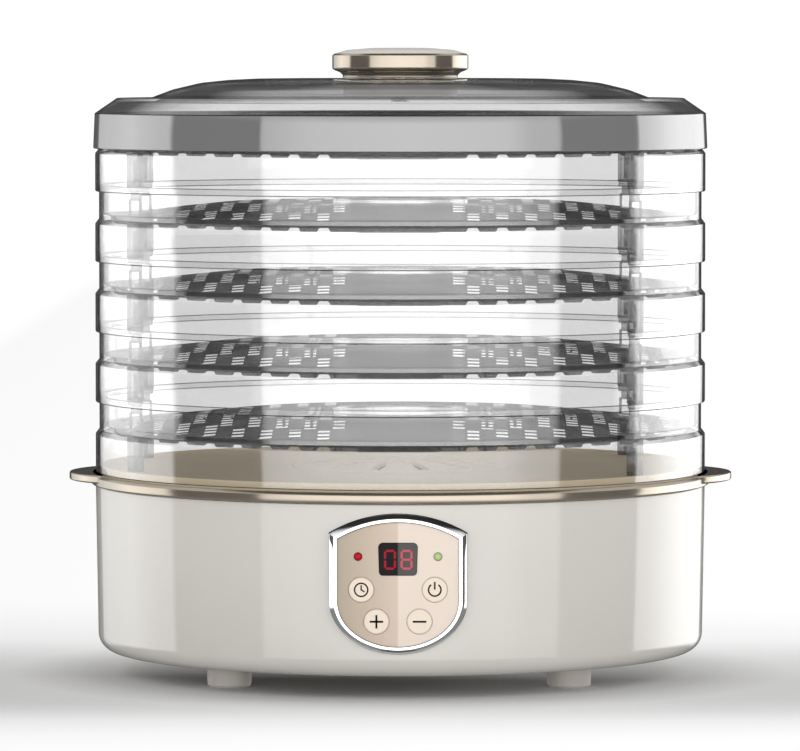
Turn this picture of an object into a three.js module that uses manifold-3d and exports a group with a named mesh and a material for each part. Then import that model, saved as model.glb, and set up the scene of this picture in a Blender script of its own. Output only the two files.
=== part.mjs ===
// Round food dehydrator: a powered base, five stacking trays and a lid with a knob.
// Millimetres, +Z up. The origin is on the table, under the middle of the object,
// and the control panel faces -Y.

import * as THREE from 'three';
import { mergeVertices } from 'three/addons/utils/BufferGeometryUtils.js';
import Module from 'manifold-3d';

const wasm = await Module();
wasm.setup();

// ---------------------------------------------------------------- driving dimensions

const BODY_RADIUS = 160;
const WALL = 2.2;
const GAP = 0.3;
const ROUND = 32;            // sides of the large round pieces
const SMALL_ROUND = 12;      // sides of small pins, screws and caps

// Stack of trays, heights above each tray's shoulder
const TRAY_COUNT = 5;
const TRAY_PITCH = 36.7;
const LOWEST_SHOULDER = 127.5;
const SKIRT_DEPTH = 22;
const INNER_WALL_RADIUS = 157;
const INNER_WALL_HEIGHT = 18.2;
const FLOOR_RISE = 9;
const PLATEAU_RADIUS = 118;
const FLOOR_EDGE_RADIUS = 151.4;
const HUB_RADIUS = 33.6;
const HUB_LIP = 11;
const PILLAR_TOP = 17.2;
const LEG_BOTTOM = -(TRAY_PITCH - PILLAR_TOP - GAP);
const LEG_PLACES = [[-136.5, -54.6], [-136.5, 54.6], [120.8, -84], [120.8, 84]];
const LEG_WIDTH = 8.4;
const LEG_DEPTH = 5;
const SLOT_WIDTH = 6.3;
const SLOT_PITCH = 14.6;
const FIRST_SLOT_X = 37.8;
const SLOT_COLUMNS = 7;

// Base
const BASE_BOTTOM = 11.5;
const BASE_TOP = 98.7;
const BOTTOM_RADIUS = 140;
const EDGE_RADIUS = 12;
const HOUSING_FOOT_RADIUS = 158.6;
const DECK_TOP = 108;
const DECK_THICKNESS = 3;
const COLLAR_TOP = 109;
const COLLAR_RADIUS = 156.8;
const OUTLET_RADIUS = 57;
const RING_BOTTOM = 99;
const RING_TOP = 104.6;
const RING_RADIUS = 162.4;
const EAR_REACH = 174;
const EAR_HALF_SPAN = 43;
const COVER_BOTTOM = BASE_BOTTOM + 0.2;
const COVER_TOP = 14.2;
const COVER_SCREW_CIRCLE = 134.5;
const FLANGE_INSIDE = 129;   // of the housing, where the cover is screwed on
const FLANGE_BOTTOM = 14.5;
const FLANGE_TOP = 17.5;
const FOOT_OFFSET = 87;
const FOOT_RADIUS = 11.6;

// Control panel, a shield in a plane that faces -Y
const PANEL_HALF_WIDTH = 34.5;
const PANEL_CORNER_Z = 84.2;
const PANEL_TOP_Z = 94;
const PANEL_SIDE_Z = 50.5;
const PANEL_BOTTOM_Z = 23.7;
const PANEL_FRONT = 162.3;
const CUT_DEPTH = 40;        // how far the cutters behind the panel's plane reach
const BEZEL_WIDTH = 4;
const BEZEL_DEPTH = 10;
const PLATE_FRONT = 161.2;
const PLATE_THICKNESS = 2;
const BUTTON_RADIUS = 6.5;
const BUTTON_FRONT = 162.1;
const BUTTON_TRAVEL = 0.8;
const BUTTONS = {
  mode: [-18.4, 56.2],
  start: [18.4, 56.2],
  plus: [-10.8, 40.2],
  minus: [10.8, 40.2],
};
const LEDS = { red: [-20, 72.8], green: [20, 72.8] };
const DISPLAY_CENTRE_Z = 71.5;
const LED_RADIUS = 2.1;
const FLANGE_RADIUS = 7.6;
const STEM_RADIUS = 2.4;
const STEM_END = 154.5;
const BOARD_FRONT = 148;
const BOARD_THICKNESS = 1.6;
const BOARD_SCREWS = [[-38, 56], [38, 56]];

// Lid and knob
const TOP_SHOULDER = LOWEST_SHOULDER + TRAY_PITCH * (TRAY_COUNT - 1);
const LID_BOTTOM = TOP_SHOULDER + GAP;
const LID_SHOULDER_Z = 293;
const LID_RIM_Z = 301;
const DOME_RADIUS = 131;
const DOME_TOP = 311.3;
const KNOB_RADIUS = 35.7;
const KNOB_TOP = 327.3;
const KNOB_BASE_BOTTOM = 301.6;
const SCREW_HOLE = 2.6;

// Fan and heater, hung under the deck
const DUCT_RADIUS = 61;
const DUCT_WALL = 2.5;
const DUCT_FLANGE_RADIUS = 70;
const DUCT_BOTTOM = 61;
const DUCT_TOP = DECK_TOP - DECK_THICKNESS - GAP;
const FAN_RADIUS = 54;
const MOTOR_TOP = 58;
const BRACKET_SCREW_RADIUS = 65;
const MOTOR_SCREW_X = 16;
const THIRD_TURN = 2 * Math.PI / 3;

// Mains inlet, at the back
const INLET_Z = 41;
const INLET_BODY = [28, 20, 20];

// ---------------------------------------------------------------- materials

function finish(color, roughness, metalness = 0, opacity = 1) {
  return new THREE.MeshStandardMaterial({
    color, roughness, metalness, opacity, transparent: opacity < 1,
  });
}

const materials = {
  cream: finish(0xd9d4cb, 0.25),
  gold: finish(0xc8ad88, 0.25, 1),
  chrome: finish(0xd8dadc, 0.08, 1),
  clear: finish(0xdfe3e4, 0.05, 0, 0.35),
  smoke: finish(0x6d7072, 0.08, 0, 0.5),
  deck: finish(0xb8ae9e, 0.4),
  plate: finish(0xd9bfa2, 0.35, 0.6),
  button: finish(0xe4d6c4, 0.35),
  window: finish(0x120c0c, 0.1, 0, 0.8),
  display: finish(0x2a0a08, 0.4),
  red: finish(0xc62020, 0.2),
  green: finish(0x6aa63a, 0.2),
  rubber: finish(0xcfcac2, 0.6),
  steel: finish(0xa8abad, 0.35, 1),
  board: finish(0x23543a, 0.55),
  black: finish(0x1c1c1e, 0.5),
  mica: finish(0xb99b6b, 0.7),
};

// ---------------------------------------------------------------- geometry helpers

function signedVolume(position, index) {
  const [a, b, c] = [new THREE.Vector3(), new THREE.Vector3(), new THREE.Vector3()];
  let six = 0;
  for (let i = 0; i < index.length; i += 3) {
    a.fromBufferAttribute(position, index[i]);
    b.fromBufferAttribute(position, index[i + 1]);
    c.fromBufferAttribute(position, index[i + 2]);
    six += a.dot(b.cross(c));
  }
  return six / 6;
}

function toSolid(geometry) {
  const bare = geometry.clone();
  bare.deleteAttribute('normal');
  bare.deleteAttribute('uv');
  const merged = mergeVertices(bare, 1e-4);
  const corners = merged.index.array;
  const kept = [];
  for (let i = 0; i < corners.length; i += 3) {
    const [a, b, c] = [corners[i], corners[i + 1], corners[i + 2]];
    if (a !== b && b !== c && c !== a) kept.push(a, b, c);
  }
  const outward = signedVolume(merged.attributes.position, kept) > 0;
  const triVerts = Uint32Array.from(kept);
  if (!outward) triVerts.reverse();
  const vertProperties = Float32Array.from(merged.attributes.position.array);
  return new wasm.Manifold(new wasm.Mesh({ numProp: 3, vertProperties, triVerts }));
}

function toGeometry(solid) {
  const { vertProperties, triVerts } = solid.getMesh();
  const geometry = new THREE.BufferGeometry();
  geometry.setAttribute('position', new THREE.BufferAttribute(Float32Array.from(vertProperties), 3));
  geometry.setIndex(Array.from(triVerts));
  geometry.computeVertexNormals();
  return geometry;
}

function join(...geometries) {
  const whole = geometries.map(toSolid).reduce((sum, next) => sum.add(next));
  return toGeometry(whole);
}

function cut(body, tools) {
  const rest = tools.map(toSolid).reduce((left, tool) => left.subtract(tool), toSolid(body));
  return toGeometry(rest);
}

// A closed outline of [radius, z] points turned about Z. Its faces point outwards
// when the outline runs anticlockwise, so one that runs the other way is reversed.
function revolve(outline, sides = ROUND) {
  const points = outline.map(([radius, z]) => new THREE.Vector2(radius, z));
  if (THREE.ShapeUtils.isClockWise(points)) points.reverse();
  const onAxis = outline[0][0] === 0;
  if (!onAxis) points.push(points[0].clone());
  return new THREE.LatheGeometry(points, sides).rotateX(Math.PI / 2);
}

function ring(innerRadius, outerRadius, bottom, top, sides = ROUND) {
  return revolve([
    [innerRadius, bottom], [outerRadius, bottom], [outerRadius, top], [innerRadius, top],
  ], sides);
}

function rod(radius, bottom, top, x = 0, y = 0, sides = SMALL_ROUND) {
  const geometry = new THREE.CylinderGeometry(radius, radius, top - bottom, sides);
  return geometry.rotateX(Math.PI / 2).translate(x, y, (top + bottom) / 2);
}

function block(width, depth, height, x, y, z) {
  return new THREE.BoxGeometry(width, depth, height).translate(x, y, z);
}

// A flat shape drawn in X and Z, standing up, from the plane y = -front back by depth.
function standing(shape, front, depth, curveSegments = 10) {
  const geometry = new THREE.ExtrudeGeometry(shape, { depth, bevelEnabled: false, curveSegments });
  return geometry.rotateX(Math.PI / 2).translate(0, -(front - depth), 0);
}

// A round bar along Y from the plane y = -front back by depth.
function bolt(radius, front, depth, x, z, sides = SMALL_ROUND) {
  return new THREE.CylinderGeometry(radius, radius, depth, sides).translate(x, -(front - depth / 2), z);
}

function mesh(name, geometry, material, place = [0, 0, 0]) {
  const piece = new THREE.Mesh(geometry, material);
  piece.name = name;
  piece.position.set(...place);
  return piece;
}

// ---------------------------------------------------------------- trays

function trayOutline() {
  const skirtInside = INNER_WALL_RADIUS + 0.8;
  const wallInside = INNER_WALL_RADIUS - WALL;
  const floor = WALL + 0.2;
  return [
    [skirtInside, -SKIRT_DEPTH],
    [BODY_RADIUS, -SKIRT_DEPTH],
    [BODY_RADIUS, -WALL],
    [INNER_WALL_RADIUS, 0.4],
    [INNER_WALL_RADIUS, INNER_WALL_HEIGHT],
    [wallInside, INNER_WALL_HEIGHT],
    [wallInside, 0],
    [FLOOR_EDGE_RADIUS, 0],
    [PLATEAU_RADIUS, FLOOR_RISE],
    [HUB_RADIUS + WALL, FLOOR_RISE],
    [HUB_RADIUS + WALL, HUB_LIP],
    [HUB_RADIUS, HUB_LIP],
    [HUB_RADIUS, FLOOR_RISE - floor],
    [PLATEAU_RADIUS - 1, FLOOR_RISE - floor],
    [FLOOR_EDGE_RADIUS - 2, -floor],
    [skirtInside, -floor],
  ];
}

// Slots run in columns along Y, in a near and a far group, on the raised part of the floor.
function traySlots() {
  const slots = [];
  const slotHeight = 8;
  const middleBar = 6;
  for (let column = 0; column < SLOT_COLUMNS - 1; column += 1) {
    const x = FIRST_SLOT_X + column * SLOT_PITCH;
    const reach = Math.sqrt((PLATEAU_RADIUS - 3) ** 2 - (x + SLOT_WIDTH / 2) ** 2);
    const length = reach - middleBar;
    for (const side of [-1, 1]) {
      for (const group of [-1, 1]) {
        const y = group * (middleBar + length / 2);
        slots.push(block(SLOT_WIDTH, length, slotHeight, side * x, y, FLOOR_RISE));
      }
    }
  }
  return slots;
}

// A leg below the floor and a pillar above it, which carries the leg of the next tray.
function trayPosts() {
  const legTop = 3;
  const legHeight = legTop - LEG_BOTTOM;
  const pillarRadius = 3.4;
  const posts = [];
  for (const [x, y] of LEG_PLACES) {
    posts.push(block(LEG_WIDTH, LEG_DEPTH, legHeight, x, y, legTop - legHeight / 2));
    posts.push(rod(pillarRadius, legTop - 1, PILLAR_TOP, x, y, 6));
  }
  return posts;
}

function trayGeometry() {
  const perforated = cut(revolve(trayOutline()), traySlots());
  return join(perforated, ...trayPosts());
}

function trays() {
  const geometry = trayGeometry();
  const group = new THREE.Group();
  for (let number = 1; number <= TRAY_COUNT; number += 1) {
    const z = LOWEST_SHOULDER + TRAY_PITCH * (TRAY_COUNT - number);
    group.add(mesh(`tray_${number}`, geometry, materials.clear, [0, 0, z]));
  }
  return group;
}

// ---------------------------------------------------------------- lid and knob

function lidGeometry() {
  const skirtInside = INNER_WALL_RADIUS + 0.8;
  const dome = revolve([
    [skirtInside, LID_BOTTOM],
    [BODY_RADIUS + 1, LID_BOTTOM],
    [BODY_RADIUS + 0.2, LID_SHOULDER_Z],
    [148.5, LID_RIM_Z],
    [DOME_RADIUS, LID_RIM_Z],
    [121.8, 304.5],
    [109, 307.5],
    [88, 310.4],
    [62, DOME_TOP],
    [SCREW_HOLE, DOME_TOP],
    [SCREW_HOLE, DOME_TOP - WALL],
    [62, DOME_TOP - WALL],
    [87.4, 310.4 - WALL],
    [108, 307.5 - WALL],
    [120.8, 304.5 - WALL],
    [DOME_RADIUS - 1, LID_RIM_Z - WALL],
    [147.8, LID_RIM_Z - WALL],
    [skirtInside, LID_SHOULDER_Z],
  ]);
  return cut(dome, lidVents());
}

function lidVents() {
  const ventCount = 16;
  const [ventLength, ventWidth, ventMiddle] = [24, 4, 60];
  const vents = [];
  for (let i = 0; i < ventCount; i += 1) {
    const vent = block(ventLength, ventWidth, 12, ventMiddle, 0, DOME_TOP);
    vents.push(vent.rotateZ((i + 0.5) * 2 * Math.PI / ventCount));
  }
  return vents;
}

function knobCap() {
  const neckRadius = 30.5;
  const neckBottom = DOME_TOP + GAP;
  const pocketTop = 321;
  const crown = revolve([
    [SCREW_HOLE, neckBottom],
    [neckRadius, neckBottom],
    [neckRadius, 313],
    [KNOB_RADIUS - 1.4, 315.3],
    [KNOB_RADIUS, 316.2],
    [KNOB_RADIUS, 322.2],
    [KNOB_RADIUS - 1, 323.4],
    [28, 325.8],
    [14, KNOB_TOP],
    [0, KNOB_TOP],
    [0, pocketTop],
    [SCREW_HOLE, pocketTop],
  ], 24);
  return mesh('knob_cap', crown, materials.gold);
}

// A washer inside the lid that the knob's screw pulls on.
function knobBase() {
  const top = DOME_TOP - WALL - GAP;
  const radius = 30;
  return mesh('knob_base', ring(SCREW_HOLE, radius, KNOB_BASE_BOTTOM, top, 20), materials.smoke);
}

function knobScrew() {
  const seat = KNOB_BASE_BOTTOM - GAP;
  const [headRadius, headHeight, shankRadius, tip] = [5, 2.3, 2.2, 320];
  const outline = [
    [0, seat - headHeight], [headRadius, seat - headHeight], [headRadius, seat],
    [shankRadius, seat], [shankRadius, tip], [0, tip],
  ];
  return mesh('knob_screw', revolve(outline, 8), materials.steel);
}

function lidAssembly() {
  const group = new THREE.Group();
  group.add(mesh('lid', lidGeometry(), materials.smoke));
  group.add(knobCap(), knobBase(), knobScrew());
  return group;
}

// ---------------------------------------------------------------- base shells

function housingOutline() {
  const outline = [[BOTTOM_RADIUS, BASE_BOTTOM]];
  const steps = 3;
  for (let i = 0; i <= steps; i += 1) {
    const angle = -Math.PI / 2 + i * Math.PI / 2 / steps;
    const radius = HOUSING_FOOT_RADIUS - EDGE_RADIUS + EDGE_RADIUS * Math.cos(angle);
    outline.push([radius, BASE_BOTTOM + EDGE_RADIUS + EDGE_RADIUS * Math.sin(angle)]);
  }
  outline.push([BODY_RADIUS, BASE_TOP], [BODY_RADIUS - 2.7, BASE_TOP]);
  outline.push([HOUSING_FOOT_RADIUS - 3, 25], [HOUSING_FOOT_RADIUS - 6.5, 18.4]);
  outline.push([146.6, FLANGE_TOP], [FLANGE_INSIDE, FLANGE_TOP]);
  outline.push([FLANGE_INSIDE, FLANGE_BOTTOM], [BOTTOM_RADIUS, FLANGE_BOTTOM]);
  return outline;
}

// The panel's outline: an arched top, straight sides and an elliptical lower edge.
function shield(inset) {
  const halfWidth = PANEL_HALF_WIDTH - inset;
  const cornerZ = PANEL_CORNER_Z - 0.65 * inset;
  const topZ = PANEL_TOP_Z - inset;
  const bottomZ = PANEL_BOTTOM_Z + 0.9 * inset;
  const sagitta = topZ - cornerZ;
  const arcRadius = (halfWidth ** 2 + sagitta ** 2) / (2 * sagitta);
  const halfAngle = Math.asin(halfWidth / arcRadius);
  const shape = new THREE.Shape();
  shape.absarc(0, topZ - arcRadius, arcRadius, Math.PI / 2 - halfAngle, Math.PI / 2 + halfAngle, false);
  shape.absellipse(0, PANEL_SIDE_Z, halfWidth, PANEL_SIDE_Z - bottomZ, Math.PI, 2 * Math.PI, false);
  return shape;
}

function housing() {
  const panelOpening = standing(shield(-GAP), PANEL_FRONT + 8, CUT_DEPTH);
  const [inletWidth, inletDepth, inletHeight] = INLET_BODY;
  const inletOpening = block(inletWidth + 2 * GAP, inletDepth + 10, inletHeight + 2 * GAP, 0, 155, INLET_Z);
  const opened = cut(revolve(housingOutline()), [panelOpening, inletOpening]);
  const [postRoot, postRadius, pilotRadius] = [152.8, 3.6, 1.6];
  const posts = BOARD_SCREWS.map(([x, z]) => {
    return bolt(postRadius, postRoot, postRoot - BOARD_FRONT - GAP, x, z, 10);
  });
  const pilots = BOARD_SCREWS.map(([x, z]) => bolt(pilotRadius, postRoot + GAP, 10, x, z, 8));
  pilots.push(...coverScrewPlaces().map(([x, y]) => rod(2, 0, FLANGE_TOP - 0.6, x, y, 8)));
  return mesh('base_housing', cut(join(opened, ...posts), pilots), materials.cream);
}

function trimRing() {
  const inside = COLLAR_RADIUS + 0.4;
  const band = revolve([
    [inside, RING_BOTTOM],
    [RING_RADIUS - 0.9, RING_BOTTOM],
    [RING_RADIUS - 0.6, 100.3],
    [RING_RADIUS - 1.4, 100.7],
    [RING_RADIUS, 101.6],
    [RING_RADIUS, 103.6],
    [RING_RADIUS - 1, RING_TOP],
    [inside, RING_TOP],
  ]);
  return mesh('trim_ring', join(band, ear(1), ear(-1)), materials.gold);
}

// A half-disc tab on the ring, rounded in plan, to lift the base by.
function ear(side) {
  const rise = EAR_REACH - COLLAR_RADIUS + 0.2;
  const radius = (EAR_HALF_SPAN ** 2 + rise ** 2) / (2 * rise);
  const [bottom, top] = [100.9, 105.1];
  const disc = rod(radius, bottom, top, side * (EAR_REACH - radius), 0, 48);
  const clearance = rod(BODY_RADIUS + 0.6, bottom - 1, top + 1, 0, 0, ROUND * 2);
  return cut(disc, [clearance]);
}

function deck() {
  const plateBottom = DECK_TOP - DECK_THICKNESS;
  const wall = COLLAR_RADIUS - 3;
  const plate = revolve([
    [OUTLET_RADIUS, plateBottom],
    [wall, plateBottom],
    [wall, 96],
    [COLLAR_RADIUS, 96],
    [COLLAR_RADIUS, COLLAR_TOP - 0.8],
    [COLLAR_RADIUS - 0.8, COLLAR_TOP],
    [wall, COLLAR_TOP],
    [wall, DECK_TOP],
    [OUTLET_RADIUS, DECK_TOP],
  ]);
  const pilots = screwCircle(BRACKET_SCREW_RADIUS, Math.PI / 6, (x, y) => {
    return rod(1.7, DECK_TOP - 10, DECK_TOP + 10, x, y, 8);
  });
  return mesh('base_deck', cut(plate, pilots), materials.deck);
}

function screwCircle(radius, start, make) {
  return [0, 1, 2].map((i) => {
    const angle = start + i * THIRD_TURN;
    return make(radius * Math.cos(angle), radius * Math.sin(angle));
  });
}

// The fan's guard: a shallow dome with radial slots over the air outlet.
function grille() {
  const bottom = DECK_TOP - DECK_THICKNESS;
  const radius = OUTLET_RADIUS - 0.4;
  const crown = DECK_TOP + 3.6;
  const dish = revolve([
    [0, bottom], [radius, bottom], [radius, DECK_TOP], [30, crown - 0.6], [0, crown],
  ], 24);
  const hollow = revolve([
    [0, bottom - 1], [radius - 2.6, bottom - 1], [radius - 3.6, bottom + 0.6],
    [29, crown - 3], [0, crown - 2.4],
  ], 24);
  const slotCount = 12;
  const [slotLength, slotWidth, slotMiddle] = [32, 6, 34];
  const slots = [];
  for (let i = 0; i < slotCount; i += 1) {
    const slot = block(slotLength, slotWidth, 20, slotMiddle, 0, DECK_TOP);
    slots.push(slot.rotateZ((i + 0.5) * 2 * Math.PI / slotCount));
  }
  return mesh('air_grille', cut(dish, [hollow, ...slots]), materials.deck);
}

// Closes the base from below, with intake slots under the fan and sunk screw heads.
function bottomCover() {
  const plate = rod(BOTTOM_RADIUS - 0.4, COVER_BOTTOM, COVER_TOP, 0, 0, ROUND);
  const [intakeRadius, slotPitch, slotWidth] = [50, 13, 5];
  const slots = [];
  for (let row = -3; row <= 3; row += 1) {
    const y = row * slotPitch;
    slots.push(block(2 * Math.sqrt(intakeRadius ** 2 - y ** 2), slotWidth, 20, 0, y, COVER_BOTTOM));
  }
  const footHoles = footPlaces().map(([x, y]) => rod(4, 0, 30, x, y, 10));
  const screwHoles = coverScrewPlaces().map(([x, y]) => rod(2, 0, 30, x, y, 6));
  const sinks = coverScrewPlaces().map(([x, y]) => rod(4.2, 0, COVER_BOTTOM + 1.4, x, y, 10));
  const opened = cut(plate, [...slots, ...footHoles, ...screwHoles, ...sinks]);
  return mesh('bottom_cover', opened, materials.cream);
}

function footPlaces() {
  const places = [];
  for (const x of [-FOOT_OFFSET, FOOT_OFFSET]) {
    for (const y of [-FOOT_OFFSET, FOOT_OFFSET]) places.push([x, y]);
  }
  return places;
}

function coverScrewPlaces() {
  return [0, 1, 2, 3].map((i) => {
    const angle = i * Math.PI / 2 + Math.PI / 8;
    return [COVER_SCREW_CIRCLE * Math.cos(angle), COVER_SCREW_CIRCLE * Math.sin(angle)];
  });
}

// A pad with a barbed stem that is pushed through the bottom cover.
function feet() {
  const [stemRadius, barbRadius, barbBottom, barbTop] = [3.4, 4.6, 14.8, 18];
  const outline = [
    [0, 0], [FOOT_RADIUS - 1.4, 0], [FOOT_RADIUS - 0.4, 1.2], [FOOT_RADIUS, BASE_BOTTOM - 0.1],
    [stemRadius, BASE_BOTTOM - 0.1], [stemRadius, barbBottom], [barbRadius, barbBottom + 0.5],
    [3, barbTop], [0, barbTop],
  ];
  const geometry = revolve(outline, 16);
  const names = ['foot_front_left', 'foot_rear_left', 'foot_front_right', 'foot_rear_right'];
  const group = new THREE.Group();
  footPlaces().forEach(([x, y], i) => group.add(mesh(names[i], geometry, materials.rubber, [x, y, 0])));
  return group;
}

function coverScrews() {
  const [headBottom, headTop, tip] = [COVER_BOTTOM + 0.1, COVER_BOTTOM + 1.1, FLANGE_TOP - 1.2];
  const [headRadius, shankRadius] = [3.6, 1.6];
  const outline = [
    [0, headBottom], [headRadius, headBottom], [headRadius, headTop],
    [shankRadius, headTop], [shankRadius, tip], [0, tip],
  ];
  const geometry = revolve(outline, 8);
  const group = new THREE.Group();
  coverScrewPlaces().forEach(([x, y], i) => {
    group.add(mesh(`cover_screw_${i + 1}`, geometry, materials.steel, [x, y, 0]));
  });
  return group;
}

function baseShells() {
  const group = new THREE.Group();
  group.add(housing(), trimRing(), deck(), grille(), bottomCover(), feet(), coverScrews());
  return group;
}

// ---------------------------------------------------------------- control panel

function roundedTrapezoid(topHalf, bottomHalf, bottom, top, corner) {
  const shape = new THREE.Shape();
  shape.moveTo(-bottomHalf + corner, bottom);
  shape.lineTo(bottomHalf - corner, bottom);
  shape.quadraticCurveTo(bottomHalf, bottom, bottomHalf, bottom + corner);
  shape.lineTo(topHalf, top - corner);
  shape.quadraticCurveTo(topHalf, top, topHalf - corner, top);
  shape.lineTo(-topHalf + corner, top);
  shape.quadraticCurveTo(-topHalf, top, -topHalf, top - corner);
  shape.lineTo(-bottomHalf, bottom + corner);
  shape.quadraticCurveTo(-bottomHalf, bottom, -bottomHalf + corner, bottom);
  return shape;
}

function displayOutline(spare) {
  const [halfHeight, topHalf, bottomHalf] = [8.15 + spare, 9.85 + spare, 9.35 + spare];
  const [bottom, top] = [DISPLAY_CENTRE_Z - halfHeight, DISPLAY_CENTRE_Z + halfHeight];
  return roundedTrapezoid(topHalf, bottomHalf, bottom, top, 2.4);
}

function bezel() {
  const outer = standing(shield(0), PANEL_FRONT, BEZEL_DEPTH);
  const inner = standing(shield(BEZEL_WIDTH), PANEL_FRONT + 1, BEZEL_DEPTH + 2);
  return mesh('panel_bezel', cut(outer, [inner]), materials.chrome);
}

function plate() {
  const blank = standing(shield(BEZEL_WIDTH + GAP), PLATE_FRONT, PLATE_THICKNESS);
  const holes = [standing(displayOutline(GAP), PANEL_FRONT, 10, 3)];
  for (const [x, z] of Object.values(BUTTONS)) {
    holes.push(bolt(BUTTON_RADIUS + 0.45, PANEL_FRONT, 8, x, z, 16));
  }
  for (const [x, z] of Object.values(LEDS)) holes.push(bolt(LED_RADIUS + 0.5, PANEL_FRONT, 8, x, z, 8));
  return mesh('panel_plate', cut(blank, holes), materials.plate);
}

// A cap with a retaining flange behind the plate and a stem that reaches to its switch.
function button(name, [x, z]) {
  const plateBack = PLATE_FRONT - PLATE_THICKNESS;
  const flangeFront = plateBack - GAP;
  const outline = [
    [0, BUTTON_FRONT], [BUTTON_RADIUS - 0.7, BUTTON_FRONT], [BUTTON_RADIUS, BUTTON_FRONT - 0.7],
    [BUTTON_RADIUS, flangeFront], [FLANGE_RADIUS, flangeFront], [FLANGE_RADIUS, flangeFront - 1.2],
    [STEM_RADIUS, flangeFront - 1.2], [STEM_RADIUS, STEM_END], [0, STEM_END],
  ];
  const cap = mesh(`button_${name}`, revolve(outline, 16), materials.button, [x, 0, z]);
  cap.rotation.x = Math.PI / 2;
  return cap;
}

function tactSwitch(name, [x, z]) {
  const plungerFront = STEM_END - BUTTON_TRAVEL - GAP;
  const bodyFront = plungerFront - 0.8;
  const bodyDepth = bodyFront - BOARD_FRONT - GAP;
  const body = block(6, bodyDepth, 6, x, -(bodyFront - bodyDepth / 2), z);
  const plunger = bolt(1.7, plungerFront, 2, x, z, 10);
  return mesh(`tact_switch_${name}`, join(body, plunger), materials.black);
}

function led(name, [x, z]) {
  const outline = [
    [0, PANEL_FRONT], [1.2, PANEL_FRONT - 0.3], [LED_RADIUS, PANEL_FRONT - 1.3],
    [LED_RADIUS, BOARD_FRONT + GAP], [0, BOARD_FRONT + GAP],
  ];
  const lamp = mesh(`${name}_led`, revolve(outline, 8), materials[name], [x, 0, z]);
  lamp.rotation.x = Math.PI / 2;
  return lamp;
}

function display() {
  const window = standing(displayOutline(0), PLATE_FRONT + 0.4, PLATE_THICKNESS, 3);
  const moduleFront = PLATE_FRONT - PLATE_THICKNESS - GAP;
  const moduleDepth = moduleFront - BOARD_FRONT - GAP;
  const module = block(21, moduleDepth, 17, 0, -(moduleFront - moduleDepth / 2), DISPLAY_CENTRE_Z);
  const group = new THREE.Group();
  group.add(mesh('display_window', window, materials.window));
  group.add(mesh('display_module', module, materials.display));
  return group;
}

function controlBoard() {
  const [width, height, middleZ] = [84, 56, 56];
  const board = block(width, BOARD_THICKNESS, height, 0, -(BOARD_FRONT - BOARD_THICKNESS / 2), middleZ);
  const holes = BOARD_SCREWS.map(([x, z]) => bolt(1.8, BOARD_FRONT + 12, 30, x, z, 8));
  return mesh('control_board', cut(board, holes), materials.board);
}

function boardScrews() {
  const headFront = BOARD_FRONT - BOARD_THICKNESS - GAP;
  const headBack = headFront - 2;
  const [headRadius, shankRadius, tip] = [3, 1.3, BOARD_FRONT + 3];
  const outline = [
    [0, headBack], [headRadius, headBack], [headRadius, headFront],
    [shankRadius, headFront], [shankRadius, tip], [0, tip],
  ];
  const geometry = revolve(outline, 8);
  const group = new THREE.Group();
  BOARD_SCREWS.forEach(([x, z], i) => {
    const screw = mesh(`board_screw_${i + 1}`, geometry, materials.steel, [x, 0, z]);
    screw.rotation.x = Math.PI / 2;
    group.add(screw);
  });
  return group;
}

function controlPanel() {
  const group = new THREE.Group();
  group.add(bezel(), plate(), display(), controlBoard(), boardScrews());
  for (const [name, place] of Object.entries(BUTTONS)) {
    group.add(button(name, place), tactSwitch(name, place));
  }
  for (const [name, place] of Object.entries(LEDS)) group.add(led(name, place));
  return group;
}

// ---------------------------------------------------------------- fan and heater

function airDuct() {
  const inside = DUCT_RADIUS - DUCT_WALL;
  const tube = revolve([
    [inside, DUCT_BOTTOM],
    [DUCT_FLANGE_RADIUS, DUCT_BOTTOM],
    [DUCT_FLANGE_RADIUS, DUCT_BOTTOM + DUCT_WALL],
    [DUCT_RADIUS, DUCT_BOTTOM + DUCT_WALL],
    [DUCT_RADIUS, DUCT_TOP - DUCT_WALL],
    [DUCT_FLANGE_RADIUS, DUCT_TOP - DUCT_WALL],
    [DUCT_FLANGE_RADIUS, DUCT_TOP],
    [inside, DUCT_TOP],
  ], 24);
  const holes = screwCircle(BRACKET_SCREW_RADIUS, Math.PI / 6, (x, y) => {
    return rod(1.9, DUCT_TOP - 10, DUCT_TOP + 10, x, y, 8);
  });
  return mesh('air_duct', cut(tube, holes), materials.black);
}

// A three-armed plate under the duct that the motor hangs from.
function motorBracket() {
  const thickness = 2;
  const top = DUCT_BOTTOM - GAP;
  const bottom = top - thickness;
  const [plateRadius, armReach, armWidth] = [30, 66, 12];
  const plate = rod(plateRadius, bottom, top, 0, 0, 24);
  const arms = [0, 1, 2].map((i) => {
    const arm = block(armReach, armWidth, thickness, armReach / 2, 0, (top + bottom) / 2);
    return arm.rotateZ(i * THIRD_TURN + Math.PI / 2);
  });
  const shaftHole = rod(5, bottom - 5, top + 5, 0, 0, 12);
  const screwHoles = [-MOTOR_SCREW_X, MOTOR_SCREW_X].map((x) => rod(1.9, bottom - 5, top + 5, x, 0, 8));
  return mesh('motor_bracket', cut(join(plate, ...arms), [shaftHole, ...screwHoles]), materials.steel);
}

function fanMotor() {
  const shaftBore = 2.4;
  const outline = [
    [0, 26], [8, 26], [10, 30], [22, 30], [22, MOTOR_TOP - 0.2], [shaftBore, MOTOR_TOP - 0.2],
    [shaftBore, 40], [0, 40],
  ];
  const pilots = [-MOTOR_SCREW_X, MOTOR_SCREW_X].map((x) => rod(1.7, MOTOR_TOP - 10, 70, x, 0, 8));
  return mesh('fan_motor', cut(revolve(outline, 16), pilots), materials.steel);
}

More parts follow.
